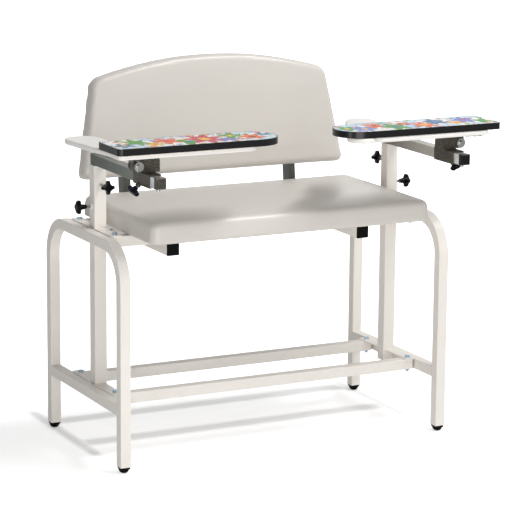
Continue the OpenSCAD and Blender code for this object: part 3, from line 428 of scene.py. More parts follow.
class Dressing:
    """A material under construction: its graph, its shader and its coordinates."""

    def __init__(self, name: str, **shader: Value) -> None:
        """Start a material with a Principled shader.

        Args:
            name: The material's name.
            **shader: Fixed values of the shader, with _ for a space and capitals kept.
        """
        self.material = bpy.data.materials.new(name)
        self.graph = blank_graph(self.material)
        self.shader = self.graph.add("ShaderNodeBsdfPrincipled")
        for label, value in shader.items():
            self.shader.inputs[label.replace("_", " ")].default_value = value
        end = self.graph.add("ShaderNodeOutputMaterial")
        self.graph.feed(end.inputs["Surface"], self.shader.outputs[0])
        self.place = self.graph.add("ShaderNodeTexCoord").outputs["Object"]

    def effect(self, tree: Tree, **inputs: Value) -> Any:
        """Place a shared group.

        Args:
            tree: The group.
            **inputs: Values or sockets for the group's inputs.

        Returns:
            The group's outputs.
        """
        node = self.graph.add("ShaderNodeGroup", node_tree=tree)
        self.graph.feed(node.inputs["Place"], self.place)
        for label, value in inputs.items():
            self.graph.feed(node.inputs[label], value)
        return node.outputs

    def colour(self, value: Value) -> None:
        """Feed the base colour."""
        self.graph.feed(self.shader.inputs["Base Color"], value)

    def roughness(self, value: Value) -> None:
        """Feed the roughness."""
        self.graph.feed(self.shader.inputs["Roughness"], value)

    def relief(self, height: Value, depth: float, strength: float = 1.0) -> None:
        """Bump the surface.

        Args:
            height: The relief's height from 0 to 1.
            depth: What a height of 1 means, in metres.
            strength: How much of the bump shows.
        """
        inputs = {"Height": height, "Distance": depth, "Strength": strength}
        bump = self.graph.add("ShaderNodeBump", inputs)
        self.graph.feed(self.shader.inputs["Normal"], bump.outputs[0])


@dataclass(frozen=True)
class Finish:
    """What the finishes share: a mottled colour, a gloss that handling leaves uneven, and waves."""

    name: str
    base: Colour
    gloss: float = 0.35
    # How much the colour varies, and in how many patches per metre
    mottle: float = 0.12
    patches: float = 30.0
    # How much the roughness varies, and in how many patches per metre
    spread: float = 0.16
    wipes: float = 22.0
    # The relief's waves per metre, and its depth in metres
    waves: float = 900.0
    depth: float = 0.00004

    def mottled(self, dressing: Dressing, colour: Value) -> Output:
        """Vary a colour softly over the surface."""
        inputs = {"Colour": colour, "Size": self.patches, "Amount": self.mottle}
        return dressing.effect(Effects.mottle(), **inputs)["Colour"]

    def wear(self, dressing: Dressing) -> None:
        """Feed a roughness that varies as hands and cloths leave it."""
        inputs = {"Roughness": self.gloss, "Spread": self.spread, "Size": self.wipes}
        dressing.roughness(dressing.effect(Effects.handling(), **inputs)["Roughness"])

    def peel(self, dressing: Dressing) -> Output:
        """Read the height of the coat's fine waves."""
        return dressing.effect(Effects.peel(), Size=self.waves)["Height"]


@dataclass(frozen=True)
class Paint(Finish):
    """A sprayed or powder-coated finish."""

    gloss: float = 0.36
    mottle: float = 0.05
    patches: float = 14.0
    spread: float = 0.14
    wipes: float = 9.0
    waves: float = 420.0
    depth: float = 0.00006
    metallic: float = 0.0
    flecks: Optional[Colour] = None

    def build(self) -> Material:
        """Make the material."""
        dressing = Dressing(self.name, Metallic=self.metallic)
        colour = self.mottled(dressing, self.base)
        # The hammered coat's flecks, painted lighter: partly their own colour, partly painted glints
        if self.flecks:
            mask = dressing.effect(Effects.speckle(), Size=self.waves)["Mask"]
            colour = dressing.graph.blend(mask, colour, self.flecks)
        dressing.colour(colour)
        self.wear(dressing)
        dressing.relief(self.peel(dressing), self.depth)
        return dressing.material


@dataclass(frozen=True)
class Vinyl(Finish):
    """Upholstery vinyl with a fine pebbled grain, and painted shade in the creases between the pebbles."""

    gloss: float = 0.4
    mottle: float = 0.05
    patches: float = 7.0
    spread: float = 0.12
    wipes: float = 6.0
    depth: float = 0.00012
    pebbles: float = 850.0
    crease: float = 0.12
    crease_share: float = 0.7

    def build(self) -> Material:
        """Make the material."""
        dressing = Dressing(self.name, Specular_IOR_Level=0.5, Sheen_Weight=0.08, Sheen_Roughness=0.4,
                            Coat_Weight=0.25, Coat_Roughness=0.22)
        graph = dressing.graph
        grain = dressing.effect(Effects.leather(), Size=self.pebbles)
        # Painted shade: the creases between the pebbles are darkened
        shade = graph.times(grain["Crease"], self.crease)
        dark = darkened(self.base, self.crease_share)
        dressing.colour(graph.blend(shade, self.mottled(dressing, self.base), dark))
        self.wear(dressing)
        dressing.relief(grain["Height"], self.depth, 0.6)
        return dressing.material


@dataclass(frozen=True)
class Moulding(Finish):
    """A moulded plastic with a faint texture."""

    shine: float = 0.5

    def build(self) -> Material:
        """Make the material."""
        dressing = Dressing(self.name, Specular_IOR_Level=self.shine)
        dressing.colour(self.mottled(dressing, self.base))
        self.wear(dressing)
        dressing.relief(self.peel(dressing), self.depth)
        return dressing.material


@dataclass(frozen=True)
class Metal(Finish):
    """A bare or plated metal with fine lines from drawing or turning."""

    gloss: float = 0.3
    mottle: float = 0.16
    patches: float = 35.0
    spread: float = 0.2
    wipes: float = 40.0
    depth: float = 0.00002
    stretch: tuple[float, float, float] = (900.0, 900.0, 900.0)
    # Bands along Y blended into the base colour: on the arm bars, painted shade and painted reflection
    zones: tuple[tuple[Colour, float, float], ...] = ()

    def build(self) -> Material:
        """Make the material."""
        dressing = Dressing(self.name, Metallic=1.0)
        graph = dressing.graph
        lines = dressing.effect(Effects.drawn(), Stretch=self.stretch)["Lines"]
        back = graph.split(dressing.place)["Y"]
        base = self.base
        # Blend in the bands along Y: painted shade and painted reflection
        for other, start, end in self.zones:
            base = graph.blend(graph.ramp(back, start, end), base, other)
        colour = self.mottled(dressing, base)
        lined = graph.ramp(lines, 0.35, 0.65, 0.0, 0.5)
        dressing.colour(graph.blend(lined, colour, graph.dim(colour, 0.8)))
        self.wear(dressing)
        dressing.relief(lines, self.depth, 0.5)
        return dressing.material


@dataclass(frozen=True, kw_only=True)
class Clamp(Finish):
    """A moulded head on a plated stud. The two meet in a plane square to the stud."""

    gloss: float = 0.3
    spread: float = 0.14
    depth: float = 0.0003
    foot: Vector
    way: Vector
    plate: Colour = tint(186, 190, 190)
    groove: Colour = tint(96, 96, 92)
    pitch: float = 1.25 * MM
    seam: float = 0.2 * MM

    def build(self) -> Material:
        """Make the material."""
        dressing = Dressing(self.name, Specular_IOR_Level=0.1)
        graph = dressing.graph
        gap = graph.vector("SUBTRACT", dressing.place, self.foot)[0]
        along = graph.vector("DOT_PRODUCT", gap, self.way)["Value"]
        head = graph.ramp(along, -self.seam, self.seam)
        bare = graph.minus(1.0, head)
        # The stud's thread: fine rings along its axis, with painted shade darkening their grooves
        rings = graph.math("SINE", graph.times(along, math.tau / self.pitch))
        thread = graph.blend(graph.ramp(rings, -0.4, 0.6), self.groove, self.plate)
        dressing.colour(graph.blend(head, thread, self.mottled(dressing, self.base)))
        graph.feed(dressing.shader.inputs["Metallic"], bare)
        self.wear(dressing)
        skin = graph.times(self.peel(dressing), 0.1)
        dressing.relief(graph.plus(skin, graph.times(bare, rings)), self.depth)
        return dressing.material


@dataclass(frozen=True, kw_only=True)
class Wood(Finish):
    """A cut face of plywood or particle board."""

    mottle: float = 0.2
    patches: float = 12.0
    depth: float = 0.0002
    dark: Colour
    stretch: tuple[float, float, float]

    def build(self) -> Material:
        """Make the material."""
        dressing = Dressing(self.name)
        graph = dressing.graph
        lines = dressing.effect(Effects.drawn(), Stretch=self.stretch)["Lines"]
        colour = graph.blend(graph.ramp(lines, 0.35, 0.7), self.base, self.dark)
        dressing.colour(self.mottled(dressing, colour))
        dressing.roughness(graph.ramp(lines, 0.2, 0.8, 0.55, 0.75))
        dressing.relief(lines, self.depth)
        return dressing.material


class Ink(Enum):
    """The printed colours of the arm boards."""

    CREAM = tint(250, 247, 236)
    SKY = tint(186, 218, 238)
    ROSE = tint(206, 18, 66)
    ORANGE = tint(240, 98, 8)
    GREEN = tint(58, 148, 14)
    TEAL = tint(8, 106, 146)
    LILAC = tint(104, 130, 214)
    YELLOW = tint(246, 190, 22)
    BROWN = tint(92, 48, 28)


@dataclass(frozen=True)
class Flower:
    """One painted motif on an arm board, placed by shares of the board's length and width."""

    along: float
    across: float
    radius: float
    petals: int
    depth: float
    ink: Ink
    heart: Ink
    squeeze: float = 1.0


@dataclass(frozen=True, kw_only=True)
class Print(Finish):
    """The laminate's generic garden print: large flowers and leaves over small strewn ones."""

    gloss: float = 0.28
    patches: float = 60.0
    spread: float = 0.1
    wipes: float = 20.0
    waves: float = 300.0
    depth: float = 0.00002
    corner: Vector
    size: Vector
    flowers: tuple[Flower, ...]
    # Each layer of small flowers: its places per metre, and the share of them that hold one
    layers: tuple[tuple[float, float], ...] = ((66.0, 0.42), (36.0, 0.36))

    def build(self) -> Material:
        """Make the material."""
        dressing = Dressing(self.name, Specular_IOR_Level=0.12)
        graph = dressing.graph
        wash = graph.ramp(graph.noise(dressing.place, 9.0, 3.0), 0.42, 0.58)
        colour = graph.blend(wash, self.base, Ink.SKY.value)
        for size, share in self.layers:
            colour = self.strewn(dressing, colour, size, share)
        for flower in self.flowers:
            centre = (self.corner.x + flower.along * self.size.x,
                      self.corner.y + flower.across * self.size.y, 0.0)
            shape = dressing.effect(Effects.motif(), Centre=centre, Radius=flower.radius,
                                    Petals=flower.petals, Depth=flower.depth,
                                    Turn=flower.along * 9.0, Squeeze=flower.squeeze)
            ink = flower.ink.value
            petal = graph.blend(graph.times(shape["Shade"], 0.75), ink, darkened(ink, 0.4))
            colour = graph.blend(shape["Mask"], colour, petal)
            colour = graph.blend(shape["Heart"], colour, flower.heart.value)
        dressing.colour(self.mottled(dressing, colour))
        self.wear(dressing)
        dressing.relief(self.peel(dressing), self.depth)
        return dressing.material

    @staticmethod
    def strewn(dressing: Dressing, ground: Value, size: float, share: float) -> Output:
        """Strew small flowers over the ground.

        Args:
            dressing: The material under construction.
            ground: The colour below them.
            size: Places for a flower per metre.
            share: The share of the places that have one.

        Returns:
            The colour with the flowers.
        """
        graph = dressing.graph
        shape = dressing.effect(Effects.scatter(), Size=size, Share=share)
        inks = (Ink.ORANGE, Ink.LILAC, Ink.GREEN, Ink.SKY, Ink.TEAL, Ink.YELLOW, Ink.ROSE, Ink.CREAM)
        ink = graph.palette(shape["Pick"], [ink.value for ink in inks])
        petal = graph.blend(graph.times(shape["Shade"], 0.7), ink, graph.dim(ink, 0.6))
        return graph.blend(shape["Mask"], ground, petal)


PAINT = Paint("warm_white_coat", tint(234, 229, 222))
UPRIGHT = Paint("gray_coat", tint(88, 90, 84), gloss=0.42)
# Its lighter flecks are partly painted glints
BRONZE = Paint("bronze_coat", tint(52, 48, 40), gloss=0.4, mottle=0.5, metallic=0.3, depth=0.00016,
               flecks=tint(128, 122, 106))
ZINC = Metal("blue_zinc", tint(150, 180, 200), gloss=0.24)
BRIGHT = Metal("bright_steel", tint(176, 177, 173), gloss=0.22)
BLACK = Moulding("black_plastic", tint(7, 7, 8), gloss=0.45, shine=0.08)
CAP = Moulding("dark_cap", tint(12, 12, 17), gloss=0.34, shine=0.2)
TRIM = Moulding("edge_moulding", tint(9, 9, 10), gloss=0.24, depth=0.00002, shine=0.35)
PLATFORM = Moulding("white_moulding", tint(241, 238, 234), gloss=0.4)
COVER = Moulding("back_sheet", tint(178, 183, 190), gloss=0.5)
VINYL = Vinyl("putty_vinyl", tint(211, 206, 199), gloss=0.38)
PLYWOOD = Wood("plywood", tint(196, 164, 120), dark=tint(150, 112, 72), stretch=(18.0, 260.0, 260.0))
CORE = Wood("particle_board", tint(178, 150, 112), dark=tint(126, 98, 66), stretch=(240.0, 240.0, 240.0))


class Shop:
    """Builds each finish once and puts it on pieces."""

    made: dict[str, Material] = {}

    @classmethod
    def material(cls, finish: Any) -> Material:
        """Find a finish's material, or build it."""
        if finish.name not in cls.made:
            cls.made[finish.name] = finish.build()
        return cls.made[finish.name]

    @classmethod
    def paint(cls, piece: Piece, finish: Any) -> None:
        """Give a piece one finish all over."""
        piece.data.materials.clear()
        piece.data.materials.append(cls.material(finish))

    @classmethod
    def dress(cls, finish: Any, *nodes: str) -> None:
        """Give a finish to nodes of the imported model."""
        for node in nodes:
            cls.paint(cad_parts[node], finish)
            LOG.info("dressed %s with %s", node, finish.name)


def new_object(name: str, data: Any) -> Piece:
    """Put data into the scene as an object at the origin."""
    item = bpy.data.objects.new(name, data)
    bpy.context.scene.collection.objects.link(item)
    return item


def new_piece(name: str, mesh: BMesh, finish: Any, body: str, slot: str, *nodes: str) -> Piece:
    """Turn a bmesh into a smooth-shaded piece that rides on a body.

    Args:
        name: The piece's name.
        mesh: The shape, in the model's frame. It is freed.
        finish: What the piece is finished with.
        body: The body that it rides on.
        slot: The record's material slot. It is not used.
        *nodes: The nodes that it stands for.

    Returns:
        The new object.
    """
    data = bpy.data.meshes.new(name)
    bmesh.ops.recalc_face_normals(mesh, faces=mesh.faces)
    mesh.to_mesh(data)
    mesh.free()
    data.shade_smooth()
    piece = new_object(name, data)
    Shop.paint(piece, finish)
    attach(piece, body)
    if nodes:
        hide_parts(*nodes)
    LOG.info("made %s on %s", name, body)
    return piece


def settle(piece: Piece) -> Piece:
    """Apply every modifier of a piece, and drop them."""
    graph = bpy.context.evaluated_depsgraph_get()
    data = bpy.data.meshes.new_from_object(piece.evaluated_get(graph), depsgraph=graph)
    piece.modifiers.clear()
    old = piece.data
    piece.data = data
    bpy.data.meshes.remove(old)
    return piece


def rounded_plan(mesh: BMesh, corners: Sequence[tuple[float, float, float]], z: float,
                 steps: int = 8) -> BMFace:
    """Make a flat face whose corners are rounded one by one.

    Args:
        mesh: Where the face goes.
        corners: X, Y and how far from each corner its round starts, anticlockwise.
        z: The height of the face.
        steps: Segments in each round.

    Returns:
        The face.
    """
    verts = [mesh.verts.new((x, y, z)) for x, y, _ in corners]
    mesh.faces.new(verts)
    for vert, (_, _, start) in zip(verts, corners):
        if start > 0:
            bmesh.ops.bevel(mesh, geom=[vert], offset=start, offset_type="OFFSET", segments=steps,
                            profile=0.5, affect="VERTICES", material=-1, clamp_overlap=False)
    mesh.faces.ensure_lookup_table()
    return mesh.faces[0]


def thicken(mesh: BMesh, face: BMFace, height: float) -> list[BMEdge]:
    """Extrude a flat face upwards.

    Args:
        mesh: Where the face is.
        face: The face, which becomes the underside.
        height: How far up it goes.

    Returns:
        The edges round the underside and the top.
    """
    low = list(face.edges)
    grown = bmesh.ops.extrude_face_region(mesh, geom=[face], use_keep_orig=True)["geom"]
    top = [item for item in grown if isinstance(item, BMVert)]
    bmesh.ops.translate(mesh, verts=top, vec=(0.0, 0.0, height))
    high = [item for item in grown if isinstance(item, BMEdge)]
    return low + high


def round_rims(mesh: BMesh, edges: Sequence[BMEdge], radius: float, steps: int) -> None:
    """Round edges over.

    Args:
        mesh: Where the edges are.
        edges: The edges.
        radius: The round's radius.
        steps: Its segments.
    """
    bmesh.ops.bevel(mesh, geom=list(edges), offset=radius, offset_type="OFFSET", segments=steps, profile=0.5,
                    affect="EDGES", material=-1, clamp_overlap=True)


@dataclass
class Frame:
    """The bolted tube frame with its fasteners, caps and glides."""

    def build(self) -> None:
        """Dress every node of the frame."""
        both = [side.word for side in Side]
        parts = ("end_frame", "crossbar", "arm_post", "runner")
        Shop.dress(PAINT, *[f"{word}_{part}" for word in both for part in parts], "upper_tabs", "lower_tabs",
                   "front_stretcher", "rear_stretcher", "front_seat_tube", "rear_seat_tube")
        Shop.dress(BLACK, "tube_caps", "glides")
        Shop.dress(ZINC, "frame_bolts", "frame_nuts", "seat_bolts", "upright_bolts", "back_bolts")
        Shop.dress(PAINT, "post_nuts")
        Shop.dress(UPRIGHT, "left_upright", "right_upright")


@dataclass
class Pad:
    """Shared making of the two cushions: a closed form that is swollen like filled vinyl."""

    voxel: float = 0.008
    pressure: float = 3.2
    frames: int = 20
    proud: float = 0.006
    rounds: int = 40
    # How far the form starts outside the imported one, to make up for the rounding of its sides
    spare: float = 0.004

    def swell(self, piece: Piece, held: Callable[[Vector], bool]) -> None:
        """Swell a piece by cloth under pressure.

        Args:
            piece: The closed form to swell.
            held: Tells whether a point stays where it is.
        """
        remesh = piece.modifiers.new("remesh", "REMESH")
        remesh.mode = "VOXEL"
        remesh.voxel_size = self.voxel
        settle(piece)
        rest = [vert.co.copy() for vert in piece.data.vertices]
        group = piece.vertex_groups.new(name="held")
        group.add([index for index, place in enumerate(rest) if held(place)], 1.0, "REPLACE")
        cloth = piece.modifiers.new("cloth", "CLOTH")
        cloth.settings.vertex_group_mass = "held"
        cloth.settings.use_pressure = True
        cloth.settings.uniform_pressure_force = self.pressure
        cloth.settings.effector_weights.gravity = 0.0
        cloth.point_cache.frame_start = 1
        cloth.point_cache.frame_end = self.frames
        for number in range(1, self.frames + 1):
            bpy.context.scene.frame_set(number)
        settle(piece)
        bpy.context.scene.frame_set(1)
        self.even(piece, rest)
        piece.data.shade_smooth()
        finer = piece.modifiers.new("finer", "SUBSURF")
        finer.levels = finer.render_levels = 1

    def even(self, piece: Piece, rest: Sequence[Vector]) -> None:
        """Cap how far the cloth has moved its points, and even it out over their neighbours.

        Args:
            piece: The swollen form.
            rest: Where its points were before.
        """
        moves = [vert.co - start for vert, start in zip(piece.data.vertices, rest)]
        moves = [move * min(1.0, self.proud / max(move.length, self.proud / 100)) for move in moves]
        near: list[list[int]] = [[] for _ in rest]
        for edge in piece.data.edges:
            first, second = edge.vertices
            near[first].append(second)
            near[second].append(first)
        for _ in range(self.rounds):
            moves = [sum((moves[other] for other in ring), move) / (len(ring) + 1)
                     for ring, move in zip(near, moves)]
        for vert, start, move in zip(piece.data.vertices, rest, moves):
            vert.co = start + move


@dataclass
class Seat(Pad):
    """The bench seat: foam and vinyl wrapped round a plywood board."""

    corner: float = 0.026
    edge: float = 0.019
    # How far up its sides the vinyl is held to the board
    held: float = 0.019

    def build(self) -> None:
        """Make the cushion and dress the board."""
        low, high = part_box("seat_cushion")
        spare = Vector((self.spare, self.spare, 0.0))
        start, end = low - spare, high + spare
        mesh = bmesh.new()
        plan = ((start.x, start.y), (end.x, start.y), (end.x, end.y), (start.x, end.y))
        face = rounded_plan(mesh, [(x, y, self.corner) for x, y in plan], low.z)
        rims = thicken(mesh, face, high.z - low.z - self.proud)
        top = [edge for edge in rims if min(vert.co.z for vert in edge.verts) > low.z + self.edge]
        round_rims(mesh, top, self.edge, 6)
        piece = new_piece("seat_pad", mesh, VINYL, "root", "vinyl", "seat_cushion")
        free = low.z + self.held
        self.swell(piece, lambda place: place.z < free)
        Shop.dress(PLYWOOD, "seat_board")


@dataclass
class Backrest(Pad):
    """The arched back, which leans on its two uprights."""

    lean: float = 6.6
    low_front: Vector = chair(0, 206.8, 759.6)
    low_half: float = 440 * MM
    top_half: float = 388 * MM
    corner_height: float = 296 * MM
    apex_height: float = 356 * MM
    thickness: float = 48.4 * MM
    low_round: float = 24 * MM
    top_round: float = 26 * MM
    edge: float = 16 * MM
    arch_steps: int = 24

    def build(self) -> None:
        """Make the cushion and dress the board."""
        mesh = bmesh.new()
        spare = self.spare
        low = self.low_half + spare
        top = self.top_half + spare
        rise = self.apex_height - self.corner_height
        arch = [top * (1 - 2 * step / self.arch_steps) for step in range(self.arch_steps + 1)]
        points = [(-low, -spare / 2, self.low_round), (low, -spare / 2, self.low_round)]
        for index, x in enumerate(arch):
            height = self.corner_height + rise * (1 - (x / top) ** 2) + spare / 2
            points.append((x, height, self.top_round if index in (0, self.arch_steps) else 0.0))
        face = rounded_plan(mesh, points, 0.0)
        rims = thicken(mesh, face, self.thickness)
        front = [edge for edge in rims if min(vert.co.z for vert in edge.verts) > self.thickness / 2]
        rear = [edge for edge in rims if max(vert.co.z for vert in edge.verts) < self.thickness / 2]
        round_rims(mesh, front, self.edge, 5)
        round_rims(mesh, rear, self.edge / 4, 2)
        # The plan's height turns upright and its thickness runs forwards
        turn = Matrix.Rotation(math.radians(90), 4, "X")
        lay_back = Matrix.Rotation(math.radians(-self.lean), 4, "X")
        shift = Matrix.Translation((0.0, self.thickness, 0.0))
        place = Matrix.Translation(self.low_front) @ lay_back @ shift @ turn
        bmesh.ops.transform(mesh, matrix=place, verts=mesh.verts)
        piece = new_piece("back_pad", mesh, VINYL, "root", "vinyl", "back_cushion")
        upright = lay_back.to_3x3().inverted()

        def held(place: Vector) -> bool:
            """Tell whether a point lies near the rear face."""
            return (upright @ (place - self.low_front)).y > self.thickness * 0.72

        self.swell(piece, held)
        Shop.dress(PLYWOOD, "back_board")
        Shop.dress(COVER, "back_cover")


@dataclass
class Knob:
    """A clamp knob: a black four-lobed head on a plated stud."""

    side: Side
    level: Level
    head: float = 14 * MM
    hub: float = 17 * MM
    sleeve_out: float = 35 * MM

    def build(self) -> None:
        """Dress the knob in two tones."""
        node = f"{self.side.word}_{self.level.value}_knob"
        foot, way = self.foot(node)
        Shop.dress(Clamp(f"{node}_finish", self.base(), foot=foot, way=way), node)

    def base(self) -> Colour:
        """Pick the moulding's black: the left sleeve knob's has a trace of violet."""
        violet = self.level is Level.SLEEVE and self.side is Side.LEFT
        return tint(20, 15, 32) if violet else tint(3, 4, 7)

    def foot(self, node: str) -> tuple[Vector, Vector]:
        """Find where the moulded hub starts.

        Args:
            node: The knob's node.

        Returns:
            The place on the stud's axis, and the direction outwards.
        """
        low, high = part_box(node)
        middle = (low + high) / 2
        outwards = self.side.value
        if self.level is Level.SLEEVE:
            cap_low, cap_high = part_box(f"{self.side.word}_bar_cap")
            way = Vector((outwards, 0.0, -1.0)).normalized()
            start = Vector(((cap_low.x + cap_high.x) / 2, middle.y, (cap_low.z + cap_high.z) / 2))
            return start + way * self.sleeve_out, way
        moulded = self.head + self.hub
        if self.level is Level.LOW:
            end = low.x if outwards < 0 else high.x
            return Vector((end - outwards * moulded, middle.y, middle.z)), Vector((outwards, 0.0, 0.0))
        # The left upper knob faces forwards and the right one backwards
        end = low.y if outwards < 0 else high.y
        return Vector((middle.x, end - outwards * moulded, middle.z)), Vector((0.0, outwards, 0.0))


@dataclass
class Platform:
    """The moulded platform that carries a board."""

    side: Side
    # Edges that fold by more than this angle stay sharp
    hard: float = 32.0
    # Points nearer than this are one, and how close to the top a face of it lies
    same: float = 0.001 * MM
    level: float = 0.01 * MM

    def build(self) -> None:
        """Dress the left platform. Lay the right one's large flat top anew."""
        node = f"{self.side.word}_platform"
        if self.side is Side.LEFT:
            Shop.dress(PLATFORM, node)
            return
        mesh = bmesh.new()
        mesh.from_mesh(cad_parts[node].data)
        bmesh.ops.remove_doubles(mesh, verts=mesh.verts, dist=self.same)
        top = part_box(node)[1].z - self.level
        flat = [face for face in mesh.faces if min(vert.co.z for vert in face.verts) > top]
        bmesh.ops.delete(mesh, geom=flat, context="FACES")
        rim = [edge for edge in mesh.edges if edge.is_boundary]
        bmesh.ops.triangle_fill(mesh, edges=rim, use_beauty=True, use_dissolve=False,
                                normal=(0.0, 0.0, 1.0))
        body = f"{self.side.word}_flip"
        piece = new_piece(f"{node}_moulding", mesh, PLATFORM, body, "platform_plastic", node)
        piece.data.set_sharp_from_angle(angle=math.radians(self.hard))


@dataclass
class Arm:
    """One arm: its bar, sleeve, hinge, platform and board."""

    side: Side
    # The bar's colour at its rear with painted shade, and towards the sleeve lighter with painted reflection
    rear_tone: Colour
    front_tone: Colour
    cap: Any
    flowers: tuple[Flower, ...]
    # A painted reflection on the bar's stretch in front of the sleeve, and how far in front of the sleeve it
    # starts
    polish: Colour = tint(240, 243, 246)
    polished: float = 2 * MM

    def build(self) -> None:
        """Dress the arm's nodes."""
        word = self.side.word
        Shop.dress(self.bar_finish(), f"{word}_arm_bar")
        Shop.dress(self.cap, f"{word}_bar_cap")
        Shop.dress(BRIGHT, f"{word}_stop_screw", f"{word}_pivot_bolt", f"{word}_board_screws")
        Shop.dress(BRONZE, f"{word}_sleeve", f"{word}_hinge_block", f"{word}_flip_leaf")
        Platform(self.side).build()
        Shop.dress(CORE, f"{word}_board_core")
        Shop.dress(TRIM, f"{word}_board_edge")
        low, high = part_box(f"{word}_board_top")
        art = Print(f"{word}_print", Ink.CREAM.value, corner=low, size=high - low, flowers=self.flowers)
        Shop.dress(art, f"{word}_board_top")
        for level in Level:
            Knob(self.side, level).build()

    def bar_finish(self) -> Metal:
        """Tone the bar with painted light: painted shade at the rear in the post, lighter towards the
        sleeve, and a bright painted reflection in front of the sleeve.
        """
        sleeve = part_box(f"{self.side.word}_sleeve")
        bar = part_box(f"{self.side.word}_arm_bar")
        end = sleeve[0].y - self.polished
        zones = ((self.front_tone, bar[1].y, sleeve[1].y), (self.polish, end + self.polished / 2, end))
        return Metal(f"{self.side.word}_bar_steel", self.rear_tone, gloss=0.34,
                     stretch=(900.0, 30.0, 900.0), zones=zones)


LEFT_FLOWERS = (
    Flower(0.07, 0.35, 0.026, 5, 0.3, Ink.TEAL, Ink.YELLOW),
    Flower(0.17, 0.62, 0.03, 6, 0.3, Ink.GREEN, Ink.GREEN, 0.7),
    Flower(0.25, 0.3, 0.024, 5, 0.25, Ink.YELLOW, Ink.ORANGE),
    Flower(0.35, 0.55, 0.034, 5, 0.3, Ink.ORANGE, Ink.ROSE, 0.8),
    Flower(0.45, 0.3, 0.026, 3, 0.35, Ink.GREEN, Ink.TEAL, 0.7),
    Flower(0.57, 0.5, 0.048, 7, 0.28, Ink.ROSE, Ink.YELLOW, 0.8),
    Flower(0.69, 0.28, 0.024, 5, 0.25, Ink.LILAC, Ink.ROSE),
    Flower(0.75, 0.66, 0.026, 4, 0.35, Ink.GREEN, Ink.YELLOW, 0.7),
    Flower(0.85, 0.4, 0.03, 6, 0.28, Ink.ORANGE, Ink.BROWN, 0.8),
    Flower(0.94, 0.6, 0.02, 5, 0.25, Ink.TEAL, Ink.SKY),
)
RIGHT_FLOWERS = (
    Flower(0.07, 0.5, 0.024, 5, 0.3, Ink.GREEN, Ink.YELLOW, 0.7),
    Flower(0.16, 0.35, 0.03, 6, 0.28, Ink.LILAC, Ink.YELLOW, 0.8),
    Flower(0.26, 0.6, 0.026, 4, 0.35, Ink.ORANGE, Ink.BROWN, 0.7),
    Flower(0.36, 0.35, 0.034, 5, 0.3, Ink.GREEN, Ink.TEAL, 0.7),
    Flower(0.46, 0.62, 0.022, 5, 0.25, Ink.ROSE, Ink.YELLOW),
    Flower(0.55, 0.35, 0.032, 6, 0.3, Ink.ORANGE, Ink.YELLOW, 0.8),
    Flower(0.66, 0.6, 0.03, 5, 0.25, Ink.TEAL, Ink.LILAC, 0.8),
    Flower(0.76, 0.35, 0.022, 5, 0.3, Ink.YELLOW, Ink.ORANGE),
    Flower(0.85, 0.58, 0.034, 7, 0.28, Ink.LILAC, Ink.ROSE, 0.8),
    Flower(0.94, 0.35, 0.022, 4, 0.3, Ink.GREEN, Ink.GREEN, 0.7),
)


@dataclass(frozen=True)
class Lamp:
    """A soft lamp that faces the chair: its place, its width and height, and its power in watts."""

    name: str
    place: tuple[float, float, float]
    width: float
    height: float
    power: float


